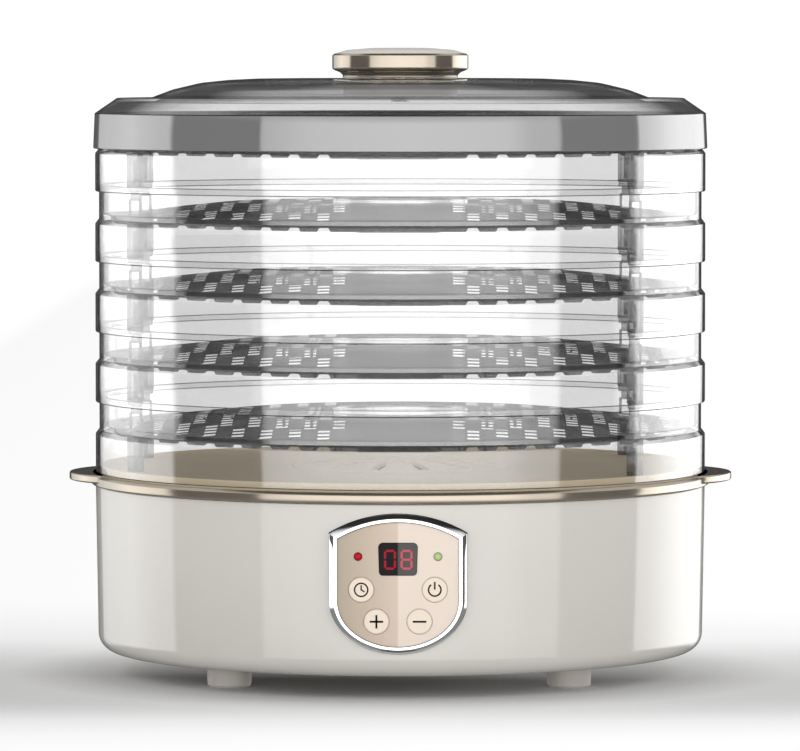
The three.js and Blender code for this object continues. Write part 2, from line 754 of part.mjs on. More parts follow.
function motorScrews() {
  const [tip, head, headTop] = [50, DUCT_BOTTOM, DUCT_BOTTOM + 1.8];
  const [headRadius, shankRadius] = [2.8, 1.3];
  const outline = [
    [0, tip], [shankRadius, tip], [shankRadius, head],
    [headRadius, head], [headRadius, headTop], [0, headTop],
  ];
  const geometry = revolve(outline, 8);
  const group = new THREE.Group();
  [-MOTOR_SCREW_X, MOTOR_SCREW_X].forEach((x, i) => {
    group.add(mesh(`motor_screw_${i + 1}`, geometry, materials.steel, [x, 0, 0]));
  });
  return group;
}

function ductScrews() {
  const head = DUCT_TOP - DUCT_WALL - GAP;
  const [headRadius, shankRadius, tip] = [3.2, 1.4, DECK_TOP - 0.6];
  const outline = [
    [0, head - 2], [headRadius, head - 2], [headRadius, head],
    [shankRadius, head], [shankRadius, tip], [0, tip],
  ];
  const geometry = revolve(outline, 8);
  const places = screwCircle(BRACKET_SCREW_RADIUS, Math.PI / 6, (x, y) => [x, y]);
  const group = new THREE.Group();
  places.forEach(([x, y], i) => {
    group.add(mesh(`duct_screw_${i + 1}`, geometry, materials.steel, [x, y, 0]));
  });
  return group;
}

function motorShaft() {
  return mesh('motor_shaft', rod(2, 41, 76, 0, 0, 12), materials.steel);
}

// Hub with tilted blades; the hub's underside has a blind bore for the shaft.
function impeller() {
  const bladeCount = 7;
  const [hubBottom, hubTop] = [66, 80];
  const hub = revolve([
    [2.4, hubBottom], [13, hubBottom], [13, hubTop - 2], [11, hubTop], [0, hubTop], [0, 77], [2.4, 77],
  ], 14);
  const blades = [];
  for (let i = 0; i < bladeCount; i += 1) {
    const blade = new THREE.BoxGeometry(FAN_RADIUS - 13, 22, 1.8);
    blade.rotateX(0.5).translate(11 + (FAN_RADIUS - 11) / 2, 0, (hubBottom + hubTop) / 2);
    blades.push(blade.rotateZ(i * 2 * Math.PI / bladeCount));
  }
  return mesh('fan_impeller', join(hub, ...blades), materials.black);
}

function heater() {
  const [frameBottom, frameTop] = [86, 88.4];
  const rim = ring(52.5, 57.8, frameBottom, frameTop, 24);
  const bars = [0, Math.PI / 2].map((angle) => {
    return block(108, 9, frameTop - frameBottom, 0, 0, (frameTop + frameBottom) / 2).rotateZ(angle);
  });
  const coilRadius = 2.6;
  const coil = new THREE.TorusGeometry(40, coilRadius, 6, 24).translate(0, 0, frameTop + GAP + coilRadius);
  const group = new THREE.Group();
  group.add(mesh('heater_frame', join(rim, ...bars), materials.mica));
  group.add(mesh('heater_coil', coil, materials.steel));
  group.add(mesh('thermostat', rod(7, frameTop + GAP, frameTop + 6, 0, 22, 16), materials.black));
  group.add(mesh('thermal_fuse', rod(2.2, frameTop + GAP, frameTop + 9, 22, 0, 10), materials.steel));
  group.add(mesh('temperature_sensor', rod(1.8, 96, 102, 0, -46, 10), materials.black));
  return group;
}

function airMovers() {
  const group = new THREE.Group();
  group.add(airDuct(), motorBracket(), fanMotor(), motorScrews(), ductScrews());
  group.add(motorShaft(), impeller(), heater());
  return group;
}

// ---------------------------------------------------------------- mains side

// A two-pin inlet: a flanged body with an open socket that faces +Y.
function powerInlet() {
  const z = INLET_Z;
  const flange = block(35, 2, 27, 0, 161.2, z);
  const body = block(...INLET_BODY, 0, 151, z);
  const socket = block(21, 14, 12, 0, 157, z);
  const [pinSize, pinLength, pinX] = [2.4, 14, 4.3];
  const pins = [-pinX, pinX].map((x) => block(pinSize, pinLength, pinSize, x, 154, z));
  return mesh('power_inlet', join(cut(join(flange, body), [socket]), ...pins), materials.black);
}

function powerBoard() {
  const group = new THREE.Group();
  const [y, z] = [92, 24];
  const boardTop = z + BOARD_THICKNESS / 2 + GAP;
  group.add(mesh('power_board', block(90, 50, BOARD_THICKNESS, 0, y, z), materials.board));
  group.add(mesh('power_relay', block(19, 15, 15, -26, y, boardTop + 7.5), materials.black));
  group.add(mesh('power_capacitor', rod(8, boardTop, boardTop + 20, 26, y, 16), materials.black));
  return group;
}

// ---------------------------------------------------------------- whole object

const dehydrator = new THREE.Group();
dehydrator.add(lidAssembly(), trays(), baseShells(), controlPanel(), airMovers());
dehydrator.add(powerInlet(), powerBoard());

export default dehydrator;
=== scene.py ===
"""Looks of the round food dehydrator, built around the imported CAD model.

Metres, +Z up, the control panel faces -Y. Every shell is turned, extruded or laid out
here at a finer grain than the CAD solids, in the same place and at the same size.
"""

import math

import bmesh
import bpy
from mathutils import Matrix, Vector


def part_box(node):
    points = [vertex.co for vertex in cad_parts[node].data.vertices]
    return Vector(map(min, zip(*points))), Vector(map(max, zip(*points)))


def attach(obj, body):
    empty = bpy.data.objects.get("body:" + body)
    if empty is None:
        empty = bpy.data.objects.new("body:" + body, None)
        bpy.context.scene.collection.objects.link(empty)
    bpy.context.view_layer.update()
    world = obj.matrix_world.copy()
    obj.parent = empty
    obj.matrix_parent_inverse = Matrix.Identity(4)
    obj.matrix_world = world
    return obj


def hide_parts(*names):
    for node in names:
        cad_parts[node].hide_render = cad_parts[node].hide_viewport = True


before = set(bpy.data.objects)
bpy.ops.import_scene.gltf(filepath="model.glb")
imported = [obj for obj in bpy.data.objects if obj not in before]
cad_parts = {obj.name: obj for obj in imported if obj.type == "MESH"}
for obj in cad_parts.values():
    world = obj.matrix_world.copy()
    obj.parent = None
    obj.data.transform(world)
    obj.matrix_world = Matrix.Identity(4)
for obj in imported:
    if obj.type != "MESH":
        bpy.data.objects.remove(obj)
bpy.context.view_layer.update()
scene = bpy.context.scene

MM = 0.001
TRAYS = (1, 2, 3, 4, 5)
BUTTONS = ("mode", "start", "plus", "minus")
FEET = ("foot_front_left", "foot_front_right", "foot_rear_left", "foot_rear_right")

# Sizes read from the CAD frame, in millimetres
BODY_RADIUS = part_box("tray_5")[1].x / MM
RING_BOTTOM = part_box("trim_ring")[0].z / MM
EAR_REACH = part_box("trim_ring")[1].x / MM
HOUSING_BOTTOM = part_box("base_housing")[0].z / MM
HOUSING_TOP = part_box("base_housing")[1].z / MM
LID_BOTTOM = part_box("lid")[0].z / MM
LID_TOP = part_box("lid")[1].z / MM
KNOB_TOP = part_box("knob_cap")[1].z / MM
KNOB_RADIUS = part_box("knob_cap")[1].x / MM
PANEL_FRONT = -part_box("panel_bezel")[0].y / MM

# Sizes that the frame doesn't give, in millimetres
SKIRT_DEPTH = 22.0
RING_TOP = 104.6
WALL = 2.2
GAP = 0.3

# Sides of a large round piece, and the angle above which an edge stays crisp
ROUND = 192
SHARP = 35.0


def middle_of(node):
    low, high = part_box(node)
    return (low + high) / (2 * MM)


# ------------------------------------------------------------------ mesh helpers


def finish_mesh(name, verts, faces, sharp_deg=SHARP):
    mesh = bpy.data.meshes.new(name)
    mesh.from_pydata([tuple(c * MM for c in v) for v in verts], [], faces)
    clean = bmesh.new()
    clean.from_mesh(mesh)
    bmesh.ops.remove_doubles(clean, verts=clean.verts, dist=1e-7)
    bmesh.ops.recalc_face_normals(clean, faces=clean.faces)
    clean.to_mesh(mesh)
    clean.free()
    shade(mesh, sharp_deg)
    return mesh


def shade(mesh, sharp_deg, flat_caps=True):
    """Smooth faces with sharp creases. Faces of many corners are flat ends and stay flat."""
    mesh.shade_smooth()
    mesh.set_sharp_from_angle(angle=math.radians(sharp_deg))
    if flat_caps:
        for face in mesh.polygons:
            if len(face.vertices) > 4:
                face.use_smooth = False


def put(name, mesh, material, body, node=None, others=(), which=None):
    """Adds a piece to the object. which(middle in mm, normal) picks each face's material:
    0 is the first one, 1 and up are the others."""
    piece = bpy.data.objects.new(name, mesh)
    scene.collection.objects.link(piece)
    mesh.materials.clear()
    for entry in (material, *others):
        mesh.materials.append(entry)
    if which:
        for face in mesh.polygons:
            face.material_index = int(which(face.center / MM, face.normal))
    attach(piece, body)
    if node:
        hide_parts(node)
    return piece


def fillet(points, steps=5):
    """Rounds the corners of an outline of (x, y) or (x, y, radius) points."""
    out = []
    count = len(points)
    for i, point in enumerate(points):
        corner = Vector(point[:2])
        radius = point[2] if len(point) > 2 else 0.0
        if radius <= 0:
            out.append((corner.x, corner.y))
            continue
        before = Vector(points[i - 1][:2]) - corner
        after = Vector(points[(i + 1) % count][:2]) - corner
        half = before.angle(after) / 2
        reach = min(radius / math.tan(half), before.length * 0.49, after.length * 0.49)
        radius = reach * math.tan(half)
        start = corner + before.normalized() * reach
        end = corner + after.normalized() * reach
        inward = (before.normalized() + after.normalized()).normalized()
        middle = corner + inward * (radius / math.sin(half))
        a0 = math.atan2(start.y - middle.y, start.x - middle.x)
        sweep = math.atan2(end.y - middle.y, end.x - middle.x) - a0
        sweep = (sweep + math.pi) % (2 * math.pi) - math.pi
        for step in range(steps + 1):
            angle = a0 + sweep * step / steps
            out.append((middle.x + radius * math.cos(angle), middle.y + radius * math.sin(angle)))
    return out


def revolve(name, outline, sides=ROUND, sharp_deg=SHARP, centre=(0.0, 0.0)):
    """Turns a closed outline of (radius, z) about Z. An outline may touch the axis."""
    verts, rows = [], []
    for radius, z in outline:
        if radius < 1e-6:
            rows.append([len(verts)] * sides)
            verts.append((centre[0], centre[1], z))
            continue
        rows.append(list(range(len(verts), len(verts) + sides)))
        for i in range(sides):
            angle = 2 * math.pi * i / sides
            verts.append((centre[0] + radius * math.cos(angle), centre[1] + radius * math.sin(angle), z))
    faces = []
    for a, b in zip(rows, rows[1:] + rows[:1]):
        for i in range(sides):
            j = (i + 1) % sides
            face = [a[i], a[j], b[j], b[i]]
            face = [v for k, v in enumerate(face) if v not in face[:k]]
            if len(face) > 2:
                faces.append(face)
    return finish_mesh(name, verts, faces, sharp_deg)


def loft(name, sections, loop=False, sharp_deg=SHARP):
    """Skins equally long closed sections of 3-D points. The ends are capped or, in a loop, joined."""
    verts = [p for section in sections for p in section]
    n = len(sections[0])
    faces = []
    pairs = list(zip(range(len(sections)), range(1, len(sections))))
    if loop:
        pairs.append((len(sections) - 1, 0))
    for a, b in pairs:
        for i in range(n):
            j = (i + 1) % n
            faces.append([a * n + i, a * n + j, b * n + j, b * n + i])
    if not loop:
        faces.append(list(range(n))[::-1])
        faces.append([(len(sections) - 1) * n + i for i in range(n)])
    return finish_mesh(name, verts, faces, sharp_deg)


def box_mesh(name, parts, bevel=0.3):
    """One mesh of boxes, each (width, depth, height, x, y, z), with rounded edges."""
    whole = bmesh.new()
    for width, depth, height, x, y, z in parts:
        block = bmesh.new()
        bmesh.ops.create_cube(block, size=1.0)
        bmesh.ops.scale(block, vec=(width * MM, depth * MM, height * MM), verts=block.verts)
        edge = min(bevel, 0.45 * min(width, depth, height)) * MM
        bmesh.ops.bevel(block, geom=block.edges[:], offset=edge, segments=2, affect="EDGES", profile=0.5)
        bmesh.ops.translate(block, vec=(x * MM, y * MM, z * MM), verts=block.verts)
        part = bpy.data.meshes.new("part")
        block.to_mesh(part)
        block.free()
        whole.from_mesh(part)
        bpy.data.meshes.remove(part)
    mesh = bpy.data.meshes.new(name)
    whole.to_mesh(mesh)
    whole.free()
    shade(mesh, SHARP)
    return mesh


def carve(mesh, cutter, sharp_deg=SHARP, flat_caps=True):
    """Cuts the closed cutter mesh out of the closed mesh."""
    body = bpy.data.objects.new("body", mesh)
    tool = bpy.data.objects.new("tool", cutter)
    for thing in (body, tool):
        scene.collection.objects.link(thing)
    cut = body.modifiers.new("cut", "BOOLEAN")
    cut.operation = "DIFFERENCE"
    cut.solver = "EXACT"
    cut.object = tool
    bpy.context.view_layer.update()
    result = bpy.data.meshes.new_from_object(body.evaluated_get(bpy.context.evaluated_depsgraph_get()))
    bpy.data.objects.remove(body)
    bpy.data.objects.remove(tool)
    result.materials.clear()
    shade(result, sharp_deg, flat_caps)
    return result


def joined(name, meshes, sharp_deg=SHARP):
    """One mesh out of several."""
    whole = bmesh.new()
    for mesh in meshes:
        whole.from_mesh(mesh)
    result = bpy.data.meshes.new(name)
    whole.to_mesh(result)
    whole.free()
    shade(result, sharp_deg)
    return result


def inset_outline(points, distance):
    """A closed flat outline moved inwards by a distance, corner by corner."""
    area = sum(a[0] * b[1] - b[0] * a[1] for a, b in zip(points, points[1:] + points[:1]))
    turn = 1.0 if area > 0 else -1.0
    moved = []
    for i, point in enumerate(points):
        here = Vector(point)
        before = (here - Vector(points[i - 1])).normalized()
        after = (Vector(points[(i + 1) % len(points)]) - here).normalized()
        inward_a = Vector((-before.y, before.x)) * turn
        inward_b = Vector((-after.y, after.x)) * turn
        bisector = (inward_a + inward_b).normalized()
        reach = distance / max(bisector.dot(inward_a), 0.3)
        moved.append(tuple(here + bisector * reach))
    return moved


def slab(name, outline, low, high, edge, place, steps=3, both=False):
    """A flat plate from low to high with a rounded edge at high, and at low if both is set.
    place(x, y, height) puts a point of the flat drawing into space."""
    levels = []
    if both:
        for step in range(steps + 1):
            angle = math.pi / 2 * step / steps
            levels.append((edge * (1 - math.sin(angle)), low + edge * (1 - math.cos(angle))))
    else:
        levels.append((0.0, low))
    for step in range(steps + 1):
        angle = math.pi / 2 * step / steps
        levels.append((edge * (1 - math.cos(angle)), high - edge * (1 - math.sin(angle))))
    sections = []
    for inset, height in levels:
        ring = inset_outline(outline, inset) if inset > 1e-6 else outline
        sections.append([place(x, y, height) for x, y in ring])
    return loft(name, sections)


def lying(x, y, height):
    return (x, y, height)


def standing(x, z, depth):
    """A point of a drawing in the panel's plane, depth millimetres in front of the middle."""
    return (x, -depth, z)


# ------------------------------------------------------------------ material helpers


class Nodes:
    """Short calls for building a node tree."""

    def __init__(self, owner, output="ShaderNodeOutputMaterial"):
        owner.use_nodes = True
        self.owner = owner
        self.tree = owner.node_tree
        self.tree.nodes.clear()
        self.output = self.add(output)

    def add(self, kind, **settings):
        node = self.tree.nodes.new(kind)
        for key, value in settings.items():
            setattr(node, key, value)
        return node

    def link(self, source, target):
        self.tree.links.new(source, target)

    def math(self, operation, a, b=None, clamp=False):
        node = self.add("ShaderNodeMath", operation=operation, use_clamp=clamp)
        for socket, value in zip(node.inputs, (a, b)):
            if value is None:
                continue
            if isinstance(value, (int, float)):
                socket.default_value = value
            else:
                self.link(value, socket)
        return node.outputs[0]

    def ramp(self, fac, stops):
        node = self.add("ShaderNodeValToRGB")
        elements = node.color_ramp.elements
        while len(elements) > len(stops):
            elements.remove(elements[-1])
        while len(elements) < len(stops):
            elements.new(0.5)
        for element, (position, colour) in zip(elements, stops):
            element.position = position
            element.color = (*colour, 1.0)
        self.link(fac, node.inputs[0])
        return node.outputs[0]

    def noise(self, scale, detail=3.0):
        place = self.add("ShaderNodeTexCoord").outputs["Object"]
        node = self.add("ShaderNodeTexNoise")
        node.inputs["Scale"].default_value = scale
        node.inputs["Detail"].default_value = detail
        self.link(place, node.inputs["Vector"])
        return node.outputs["Fac"]

    def blend(self, share, first, second):
        node = self.add("ShaderNodeMix", data_type="RGBA")
        self.link(share, node.inputs["Factor"])
        for socket, value in ((node.inputs[6], first), (node.inputs[7], second)):
            if isinstance(value, tuple):
                socket.default_value = (*value, 1.0)
            else:
                self.link(value, socket)
        return node.outputs[2]

    def bump(self, height, strength, distance):
        node = self.add("ShaderNodeBump")
        node.inputs["Strength"].default_value = strength
        node.inputs["Distance"].default_value = distance
        self.link(height, node.inputs["Height"])
        return node.outputs["Normal"]

    def principled(self, **values):
        node = self.add("ShaderNodeBsdfPrincipled")
        for key, value in values.items():
            node.inputs[key.replace("_", " ")].default_value = value
        self.link(node.outputs[0], self.output.inputs["Surface"])
        return node


def moulded(name, light, dark, roughness, coat=0.0, grain=0.0, mottling=18.0, specular=0.5):
    """Moulded plastic: a faint mottling of colour, uneven gloss and, where asked, a fine grain."""
    n = Nodes(bpy.data.materials.new(name))
    shader = n.principled(Coat_Weight=coat, Coat_Roughness=0.02, IOR=1.5, Specular_IOR_Level=specular)
    cloud = n.noise(mottling, detail=4.0)
    n.link(n.ramp(cloud, [(0.3, dark), (0.7, light)]), shader.inputs["Base Color"])
    spread = n.math("MULTIPLY", n.noise(90.0, detail=2.0), 0.08)
    n.link(n.math("ADD", spread, roughness - 0.04), shader.inputs["Roughness"])
    if grain:
        n.link(n.bump(n.noise(2600.0, detail=2.0), grain, 0.0002), shader.inputs["Normal"])
    return n.owner


def metal(name, light, dark, roughness, brushed=None, metallic=1.0):
    """Plated or anodised metal. brushed is the stretch of the fine lines along X, Y and Z."""
    n = Nodes(bpy.data.materials.new(name))
    shader = n.principled(Metallic=metallic)
    cloud = n.noise(25.0, detail=3.0)
    n.link(n.ramp(cloud, [(0.3, dark), (0.7, light)]), shader.inputs["Base Color"])
    if brushed:
        mapping = n.add("ShaderNodeMapping")
        mapping.inputs["Scale"].default_value = brushed
        n.link(n.add("ShaderNodeTexCoord").outputs["Object"], mapping.inputs["Vector"])
        lines = n.add("ShaderNodeTexNoise")
        lines.inputs["Scale"].default_value = 1.0
        lines.inputs["Detail"].default_value = 4.0
        n.link(mapping.outputs[0], lines.inputs["Vector"])
        uneven = n.math("MULTIPLY", lines.outputs["Fac"], 0.22)
        n.link(n.math("ADD", uneven, roughness - 0.11), shader.inputs["Roughness"])
        n.link(n.bump(lines.outputs["Fac"], 0.06, 0.0002), shader.inputs["Normal"])
    else:
        spread = n.math("MULTIPLY", n.noise(140.0), 0.06)
        n.link(n.math("ADD", spread, roughness - 0.03), shader.inputs["Roughness"])
    return n.owner


def clear_plastic(
        name, stops, base_gloss=0.044, grazing_gloss=1.0, haze=0.015, milk=0.0, milk_tone=0.3, uneven=0.02,
        one_way=False):
    """Thin clear plastic. Light goes straight through and is dimmed by the stops, which run from a wall
    seen square on (0) to one seen edge-on (1). It mirrors like plastic, and milk makes it cloudy.
    A one-way face only dims light on its way in."""
    n = Nodes(bpy.data.materials.new(name))
    facing = n.add("ShaderNodeLayerWeight")
    facing.inputs["Blend"].default_value = 0.5
    facing = facing.outputs["Facing"]
    flow = n.noise(9.0, detail=2.0)
    wobble = n.math("MULTIPLY", n.math("SUBTRACT", flow, 0.5), uneven)
    through = n.add("ShaderNodeBsdfTransparent")
    tint = n.ramp(n.math("ADD", facing, wobble, clamp=True), [(at, grey(tone)) for at, tone in stops])
    if one_way:
        leaving = n.add("ShaderNodeNewGeometry").outputs["Backfacing"]
        tint = n.blend(leaving, tint, grey(1.0))
    n.link(tint, through.inputs["Color"])
    inside = through
    if milk:
        cloud = n.add("ShaderNodeBsdfDiffuse")
        n.link(n.ramp(flow, [(0.3, grey(milk_tone)), (0.7, grey(milk_tone * 1.06))]), cloud.inputs["Color"])
        inside = n.add("ShaderNodeMixShader")
        inside.inputs[0].default_value = milk
        n.link(through.outputs[0], inside.inputs[1])
        n.link(cloud.outputs[0], inside.inputs[2])
    shine = n.add("ShaderNodeBsdfGlossy")
    shine.inputs["Color"].default_value = (0.95, 0.95, 0.95, 1.0)
    n.link(n.math("ADD", n.math("MULTIPLY", flow, 0.02), haze), shine.inputs["Roughness"])
    grazing = n.math("MULTIPLY", n.math("POWER", facing, 5.0), grazing_gloss - base_gloss)
    gloss = n.math("ADD", grazing, base_gloss)
    if one_way:
        gloss = n.math("MULTIPLY", gloss, n.math("SUBTRACT", 1.0, leaving))
    mix = n.add("ShaderNodeMixShader")
    n.link(gloss, mix.inputs[0])
    n.link(inside.outputs[0], mix.inputs[1])
    n.link(shine.outputs[0], mix.inputs[2])
    n.link(mix.outputs[0], n.output.inputs["Surface"])
    return n.owner


def grey(value):
    return (value, value, value)


# ------------------------------------------------------------------ materials

M_CREAM = moulded("cream_gloss", (0.60, 0.578, 0.537), (0.58, 0.558, 0.518), 0.5, coat=0.85, specular=0.1)
M_DECK = moulded("cream_deck", (0.66, 0.55, 0.39), (0.63, 0.52, 0.36), 0.45, grain=0.15)
M_FOOT = moulded("foot_rubber", (0.60, 0.57, 0.52), (0.55, 0.52, 0.47), 0.6, grain=0.4)
M_GOLD = metal("champagne_gold", (0.345, 0.30, 0.243), (0.325, 0.282, 0.227), 0.13, metallic=0.75)
# A pale, barely metallic copy of the gold for the knob's flat top: painted light, standing in for the
# bright sky that the top mirrors.
M_KNOB_TOP_PAINTED_LIGHT = metal("knob_top_painted_light", (0.85, 0.80, 0.75), (0.81, 0.76, 0.71), 0.42, metallic=0.15)
M_CHROME = metal("chrome_plate", (0.80, 0.81, 0.82), (0.76, 0.77, 0.78), 0.07)
M_STEEL = metal("steel_plate", (0.55, 0.56, 0.57), (0.48, 0.49, 0.5), 0.34, brushed=(300, 300, 30))
M_BLACK = moulded("black_plastic", (0.030, 0.030, 0.032), (0.02, 0.02, 0.022), 0.5, grain=0.3)
M_BOARD = moulded("green_board", (0.03, 0.13, 0.06), (0.02, 0.10, 0.045), 0.45, mottling=120.0)
M_MICA = moulded("mica", (0.45, 0.33, 0.18), (0.36, 0.25, 0.13), 0.6, mottling=300.0)
M_BUTTON = moulded("button_plastic", (0.80, 0.69, 0.57), (0.77, 0.66, 0.54), 0.35, grain=0.05)
M_INK = moulded("printed_ink", (0.012, 0.010, 0.008), (0.008, 0.007, 0.006), 0.6, specular=0.1)
M_CLEAR = clear_plastic("clear_wall", [
    (0.0, 0.955), (0.82, 0.93), (0.85, 0.42), (1.0, 0.25)], base_gloss=0.066)
M_INNER = clear_plastic("clear_inner", [
    (0.0, 0.975), (0.88, 0.94), (0.96, 0.45), (1.0, 0.35)], base_gloss=0.066)
M_LIP = clear_plastic("clear_lip", [(0.0, 0.62), (0.6, 0.50), (1.0, 0.25)])
M_FLOOR = clear_plastic("clear_floor", [
    (0.0, 0.80), (0.5, 0.40), (0.75, 0.12), (0.93, 0.04), (1.0, 0.03)],
    haze=0.05, one_way=True)
M_SLOT = clear_plastic(
    "clear_slot", [(0.0, 0.97), (0.8, 0.93), (1.0, 0.80)], base_gloss=0.0,
    grazing_gloss=0.04)
M_POST = clear_plastic("clear_post", [
    (0.0, 0.60), (0.45, 0.45), (0.75, 0.20), (1.0, 0.08)])
M_RIB = clear_plastic("clear_rib", [
    (0.0, 0.09), (0.4, 0.06), (0.75, 0.03), (1.0, 0.02)], base_gloss=0.02,
    one_way=True)
M_DOME = clear_plastic("smoke_dome", [
    (0.0, 0.97), (0.45, 0.96), (0.60, 0.93), (0.72, 0.76), (0.80, 0.66),
    (0.90, 0.54), (1.0, 0.2)], uneven=0.12)
M_FOLD = clear_plastic("smoke_fold", [
    (0.0, 0.30), (0.7, 0.10), (1.0, 0.05)], base_gloss=0.0)
M_SKIRT = clear_plastic("smoke_skirt", [
    (0.0, 0.62), (0.80, 0.55), (0.85, 0.2), (1.0, 0.1)],
    base_gloss=0.118, milk=0.7, milk_tone=0.22)
M_SEAT = moulded("knob_seat_plastic", (0.20, 0.155, 0.10), (0.16, 0.12, 0.08), 0.3)


def lamp_material(name, colour, glow):
    n = Nodes(bpy.data.materials.new(name))
    shader = n.principled(Roughness=0.3, Coat_Weight=0.15, Coat_Roughness=0.03, Specular_IOR_Level=0.1)
    shader.inputs["Emission Strength"].default_value = glow
    facing = n.add("ShaderNodeLayerWeight").outputs["Facing"]
    # The lens's colour and glow are painted darker towards its rim, where it is seen edge-on: painted
    # shade.
    shade = [(0.0, colour), (1.0, tuple(c * 0.35 for c in colour))]
    n.link(n.ramp(facing, shade), shader.inputs["Base Color"])
    n.link(n.ramp(facing, shade), shader.inputs["Emission Color"])
    return n.owner


M_RED = lamp_material("red_lamp", (0.40, 0.004, 0.018), 0.2)
M_GREEN = lamp_material("green_lamp", (0.36, 0.49, 0.21), 0.25)


def painted_reflection_split(name, stops, roughness, coat=0.0, specular=0.5, glow=0.0):
    """A painted reflection: a tone that runs across X with a crisp change in the middle of the panel."""
    n = Nodes(bpy.data.materials.new(name))
    shader = n.principled(
        Coat_Weight=coat, Coat_Roughness=0.02, Specular_IOR_Level=specular, Emission_Strength=glow)
    place = n.add("ShaderNodeSeparateXYZ")
    n.link(n.add("ShaderNodeTexCoord").outputs["Object"], place.inputs[0])
    across = n.math("ADD", n.math("DIVIDE", place.outputs["X"], 0.07), 0.5)
    wobble = n.math("MULTIPLY", n.math("SUBTRACT", n.noise(60.0), 0.5), 0.004)
    tone = n.ramp(n.math("ADD", across, wobble), stops)
    n.link(tone, shader.inputs["Base Color"])
    if glow:
        n.link(tone, shader.inputs["Emission Color"])
    spread = n.math("MULTIPLY", n.noise(400.0), 0.06)
    n.link(n.math("ADD", spread, roughness - 0.03), shader.inputs["Roughness"])
    return n.owner


# The plate is painted darker towards the left and lighter on the right, with a crisp change down the
# middle: a painted reflection of the studio lights.
M_PLATE = painted_reflection_split(
    "plate_painted_reflection",
    [(0.06, (0.35, 0.28, 0.20)), (0.30, (0.47, 0.375, 0.28)), (0.495, (0.58, 0.46, 0.36)),
     (0.505, (0.71, 0.60, 0.51)), (0.94, (0.72, 0.61, 0.52))],
    0.35, coat=0.35,
)
# The window is painted near black on the left and dark grey on the right: a painted reflection.
M_WINDOW = painted_reflection_split(
    "display_glass",
    [(0.0, (0.004, 0.003, 0.004)), (0.495, (0.004, 0.003, 0.004)), (0.505, (0.085, 0.085, 0.08)),
     (1.0, (0.095, 0.095, 0.09))],
    0.3, specular=0.1,
)
# The digits are painted darker red on the left and lighter red on the right: a painted reflection over
# their own glow.
M_DIGIT = painted_reflection_split(
    "red_digit", [(0.495, (0.27, 0.006, 0.02)), (0.505, (0.42, 0.07, 0.095))], 0.4, specular=0.1, glow=0.4)


# ------------------------------------------------------------------ trays

INNER_WALL = 158.0
SHELF = 2.4
FLOOR_RISE, FLOOR_RIM, FLOOR_THICKNESS = 9.0, 2.4, 1.5
PLATEAU, FLOOR_EDGE = 90.0, 151.4
HUB, HUB_LIP = 33.6, 11.0
SLOT_PITCH, FIRST_SLOT, SLOT_COLUMNS, SLOT_WIDTH = 14.6, 37.8, 8, 6.0
PLAIN_RINGS = (60.0, 90.0, 121.0)
CELL = 1.7
LEG_PLACES = ((-136.5, -54.6), (-136.5, 54.6), (120.8, -84.0), (120.8, 84.0))
PILLAR_TOP, LEG_BOTTOM = 17.2, -19.2


def tray_wall_outline():
    skirt_inside = INNER_WALL + 0.8
    return fillet([
        (skirt_inside, -SKIRT_DEPTH, 0.5), (BODY_RADIUS, -SKIRT_DEPTH, 0.9),
        (BODY_RADIUS, -WALL, 0.6), (INNER_WALL, 0.4, 0.5),
        (INNER_WALL, 18.2, 0.5), (INNER_WALL - WALL, 18.2, 0.5),
        (INNER_WALL - WALL, FLOOR_RIM, 1.0), (FLOOR_EDGE + 0.3, FLOOR_RIM, 0.2),
        (FLOOR_EDGE + 0.3, FLOOR_RIM - SHELF, 0.2), (skirt_inside, -SHELF, 0.6),
    ], steps=4)


def floor_height(radius):
    """Top of the tray's floor: a raised middle that rounds down to the rim."""
    if radius <= PLATEAU:
        return FLOOR_RISE
    share = min((radius - PLATEAU) / (FLOOR_EDGE - PLATEAU), 1.0)
    return FLOOR_RIM + (FLOOR_RISE - FLOOR_RIM) * (1.0 - share ** 1.1)


def slot_here(x, y, row):
    """Whether the floor is open here: short slots in columns, which step half a pitch from ring to ring."""
    radius = math.hypot(x, y)
    ring = sum(1 for plain in PLAIN_RINGS if radius > plain)
    column = (abs(x) - FIRST_SLOT) / SLOT_PITCH + (0.5 if ring % 2 == 0 else 0.0)
    offset = (column - round(column)) * SLOT_PITCH
    if round(column) < 0 or abs(offset) > SLOT_WIDTH / 2 or not HUB + 6 < radius < FLOOR_EDGE - 3.5:
        return False
    return all(abs(radius - plain) > 1.8 for plain in PLAIN_RINGS) and row % 6 < 3


def grid_lines():
    """Where the floor's grid runs along Y: at the edges of the slots and of those half a pitch on."""
    plain = FIRST_SLOT - SLOT_PITCH / 2 - SLOT_WIDTH / 2
    count = 6
    lines = [plain * step / count for step in range(1, count)]
    for step in range(-1, 2 * SLOT_COLUMNS):
        centre = FIRST_SLOT + step * SLOT_PITCH / 2
        lines += [centre - SLOT_WIDTH / 2, centre + SLOT_WIDTH / 2]
    lines += [0.0] + [-line for line in lines]
    return sorted(line for line in lines if abs(line) <= FLOOR_EDGE + 4)


def floor_cells(xs, ys, inner, outer):
    """The grid cells that hold material, with no two of them touching only at a corner."""
    solid = set()
    for i in range(len(xs) - 1):
        for j in range(len(ys) - 1):
            x, y = (xs[i] + xs[i + 1]) / 2, (ys[j] + ys[j + 1]) / 2
            if inner < math.hypot(x, y) < outer and not slot_here(x, y, j):
                solid.add((i, j))
    changed = True
    while changed:
        changed = False
        for i, j in sorted(solid):
            for side in (-1, 1):
                diagonal = (i + side, j + 1)
                beside, above = (i + side, j), (i, j + 1)
                if diagonal in solid and beside not in solid and above not in solid:
                    solid.add(beside)
                    changed = True
    return solid


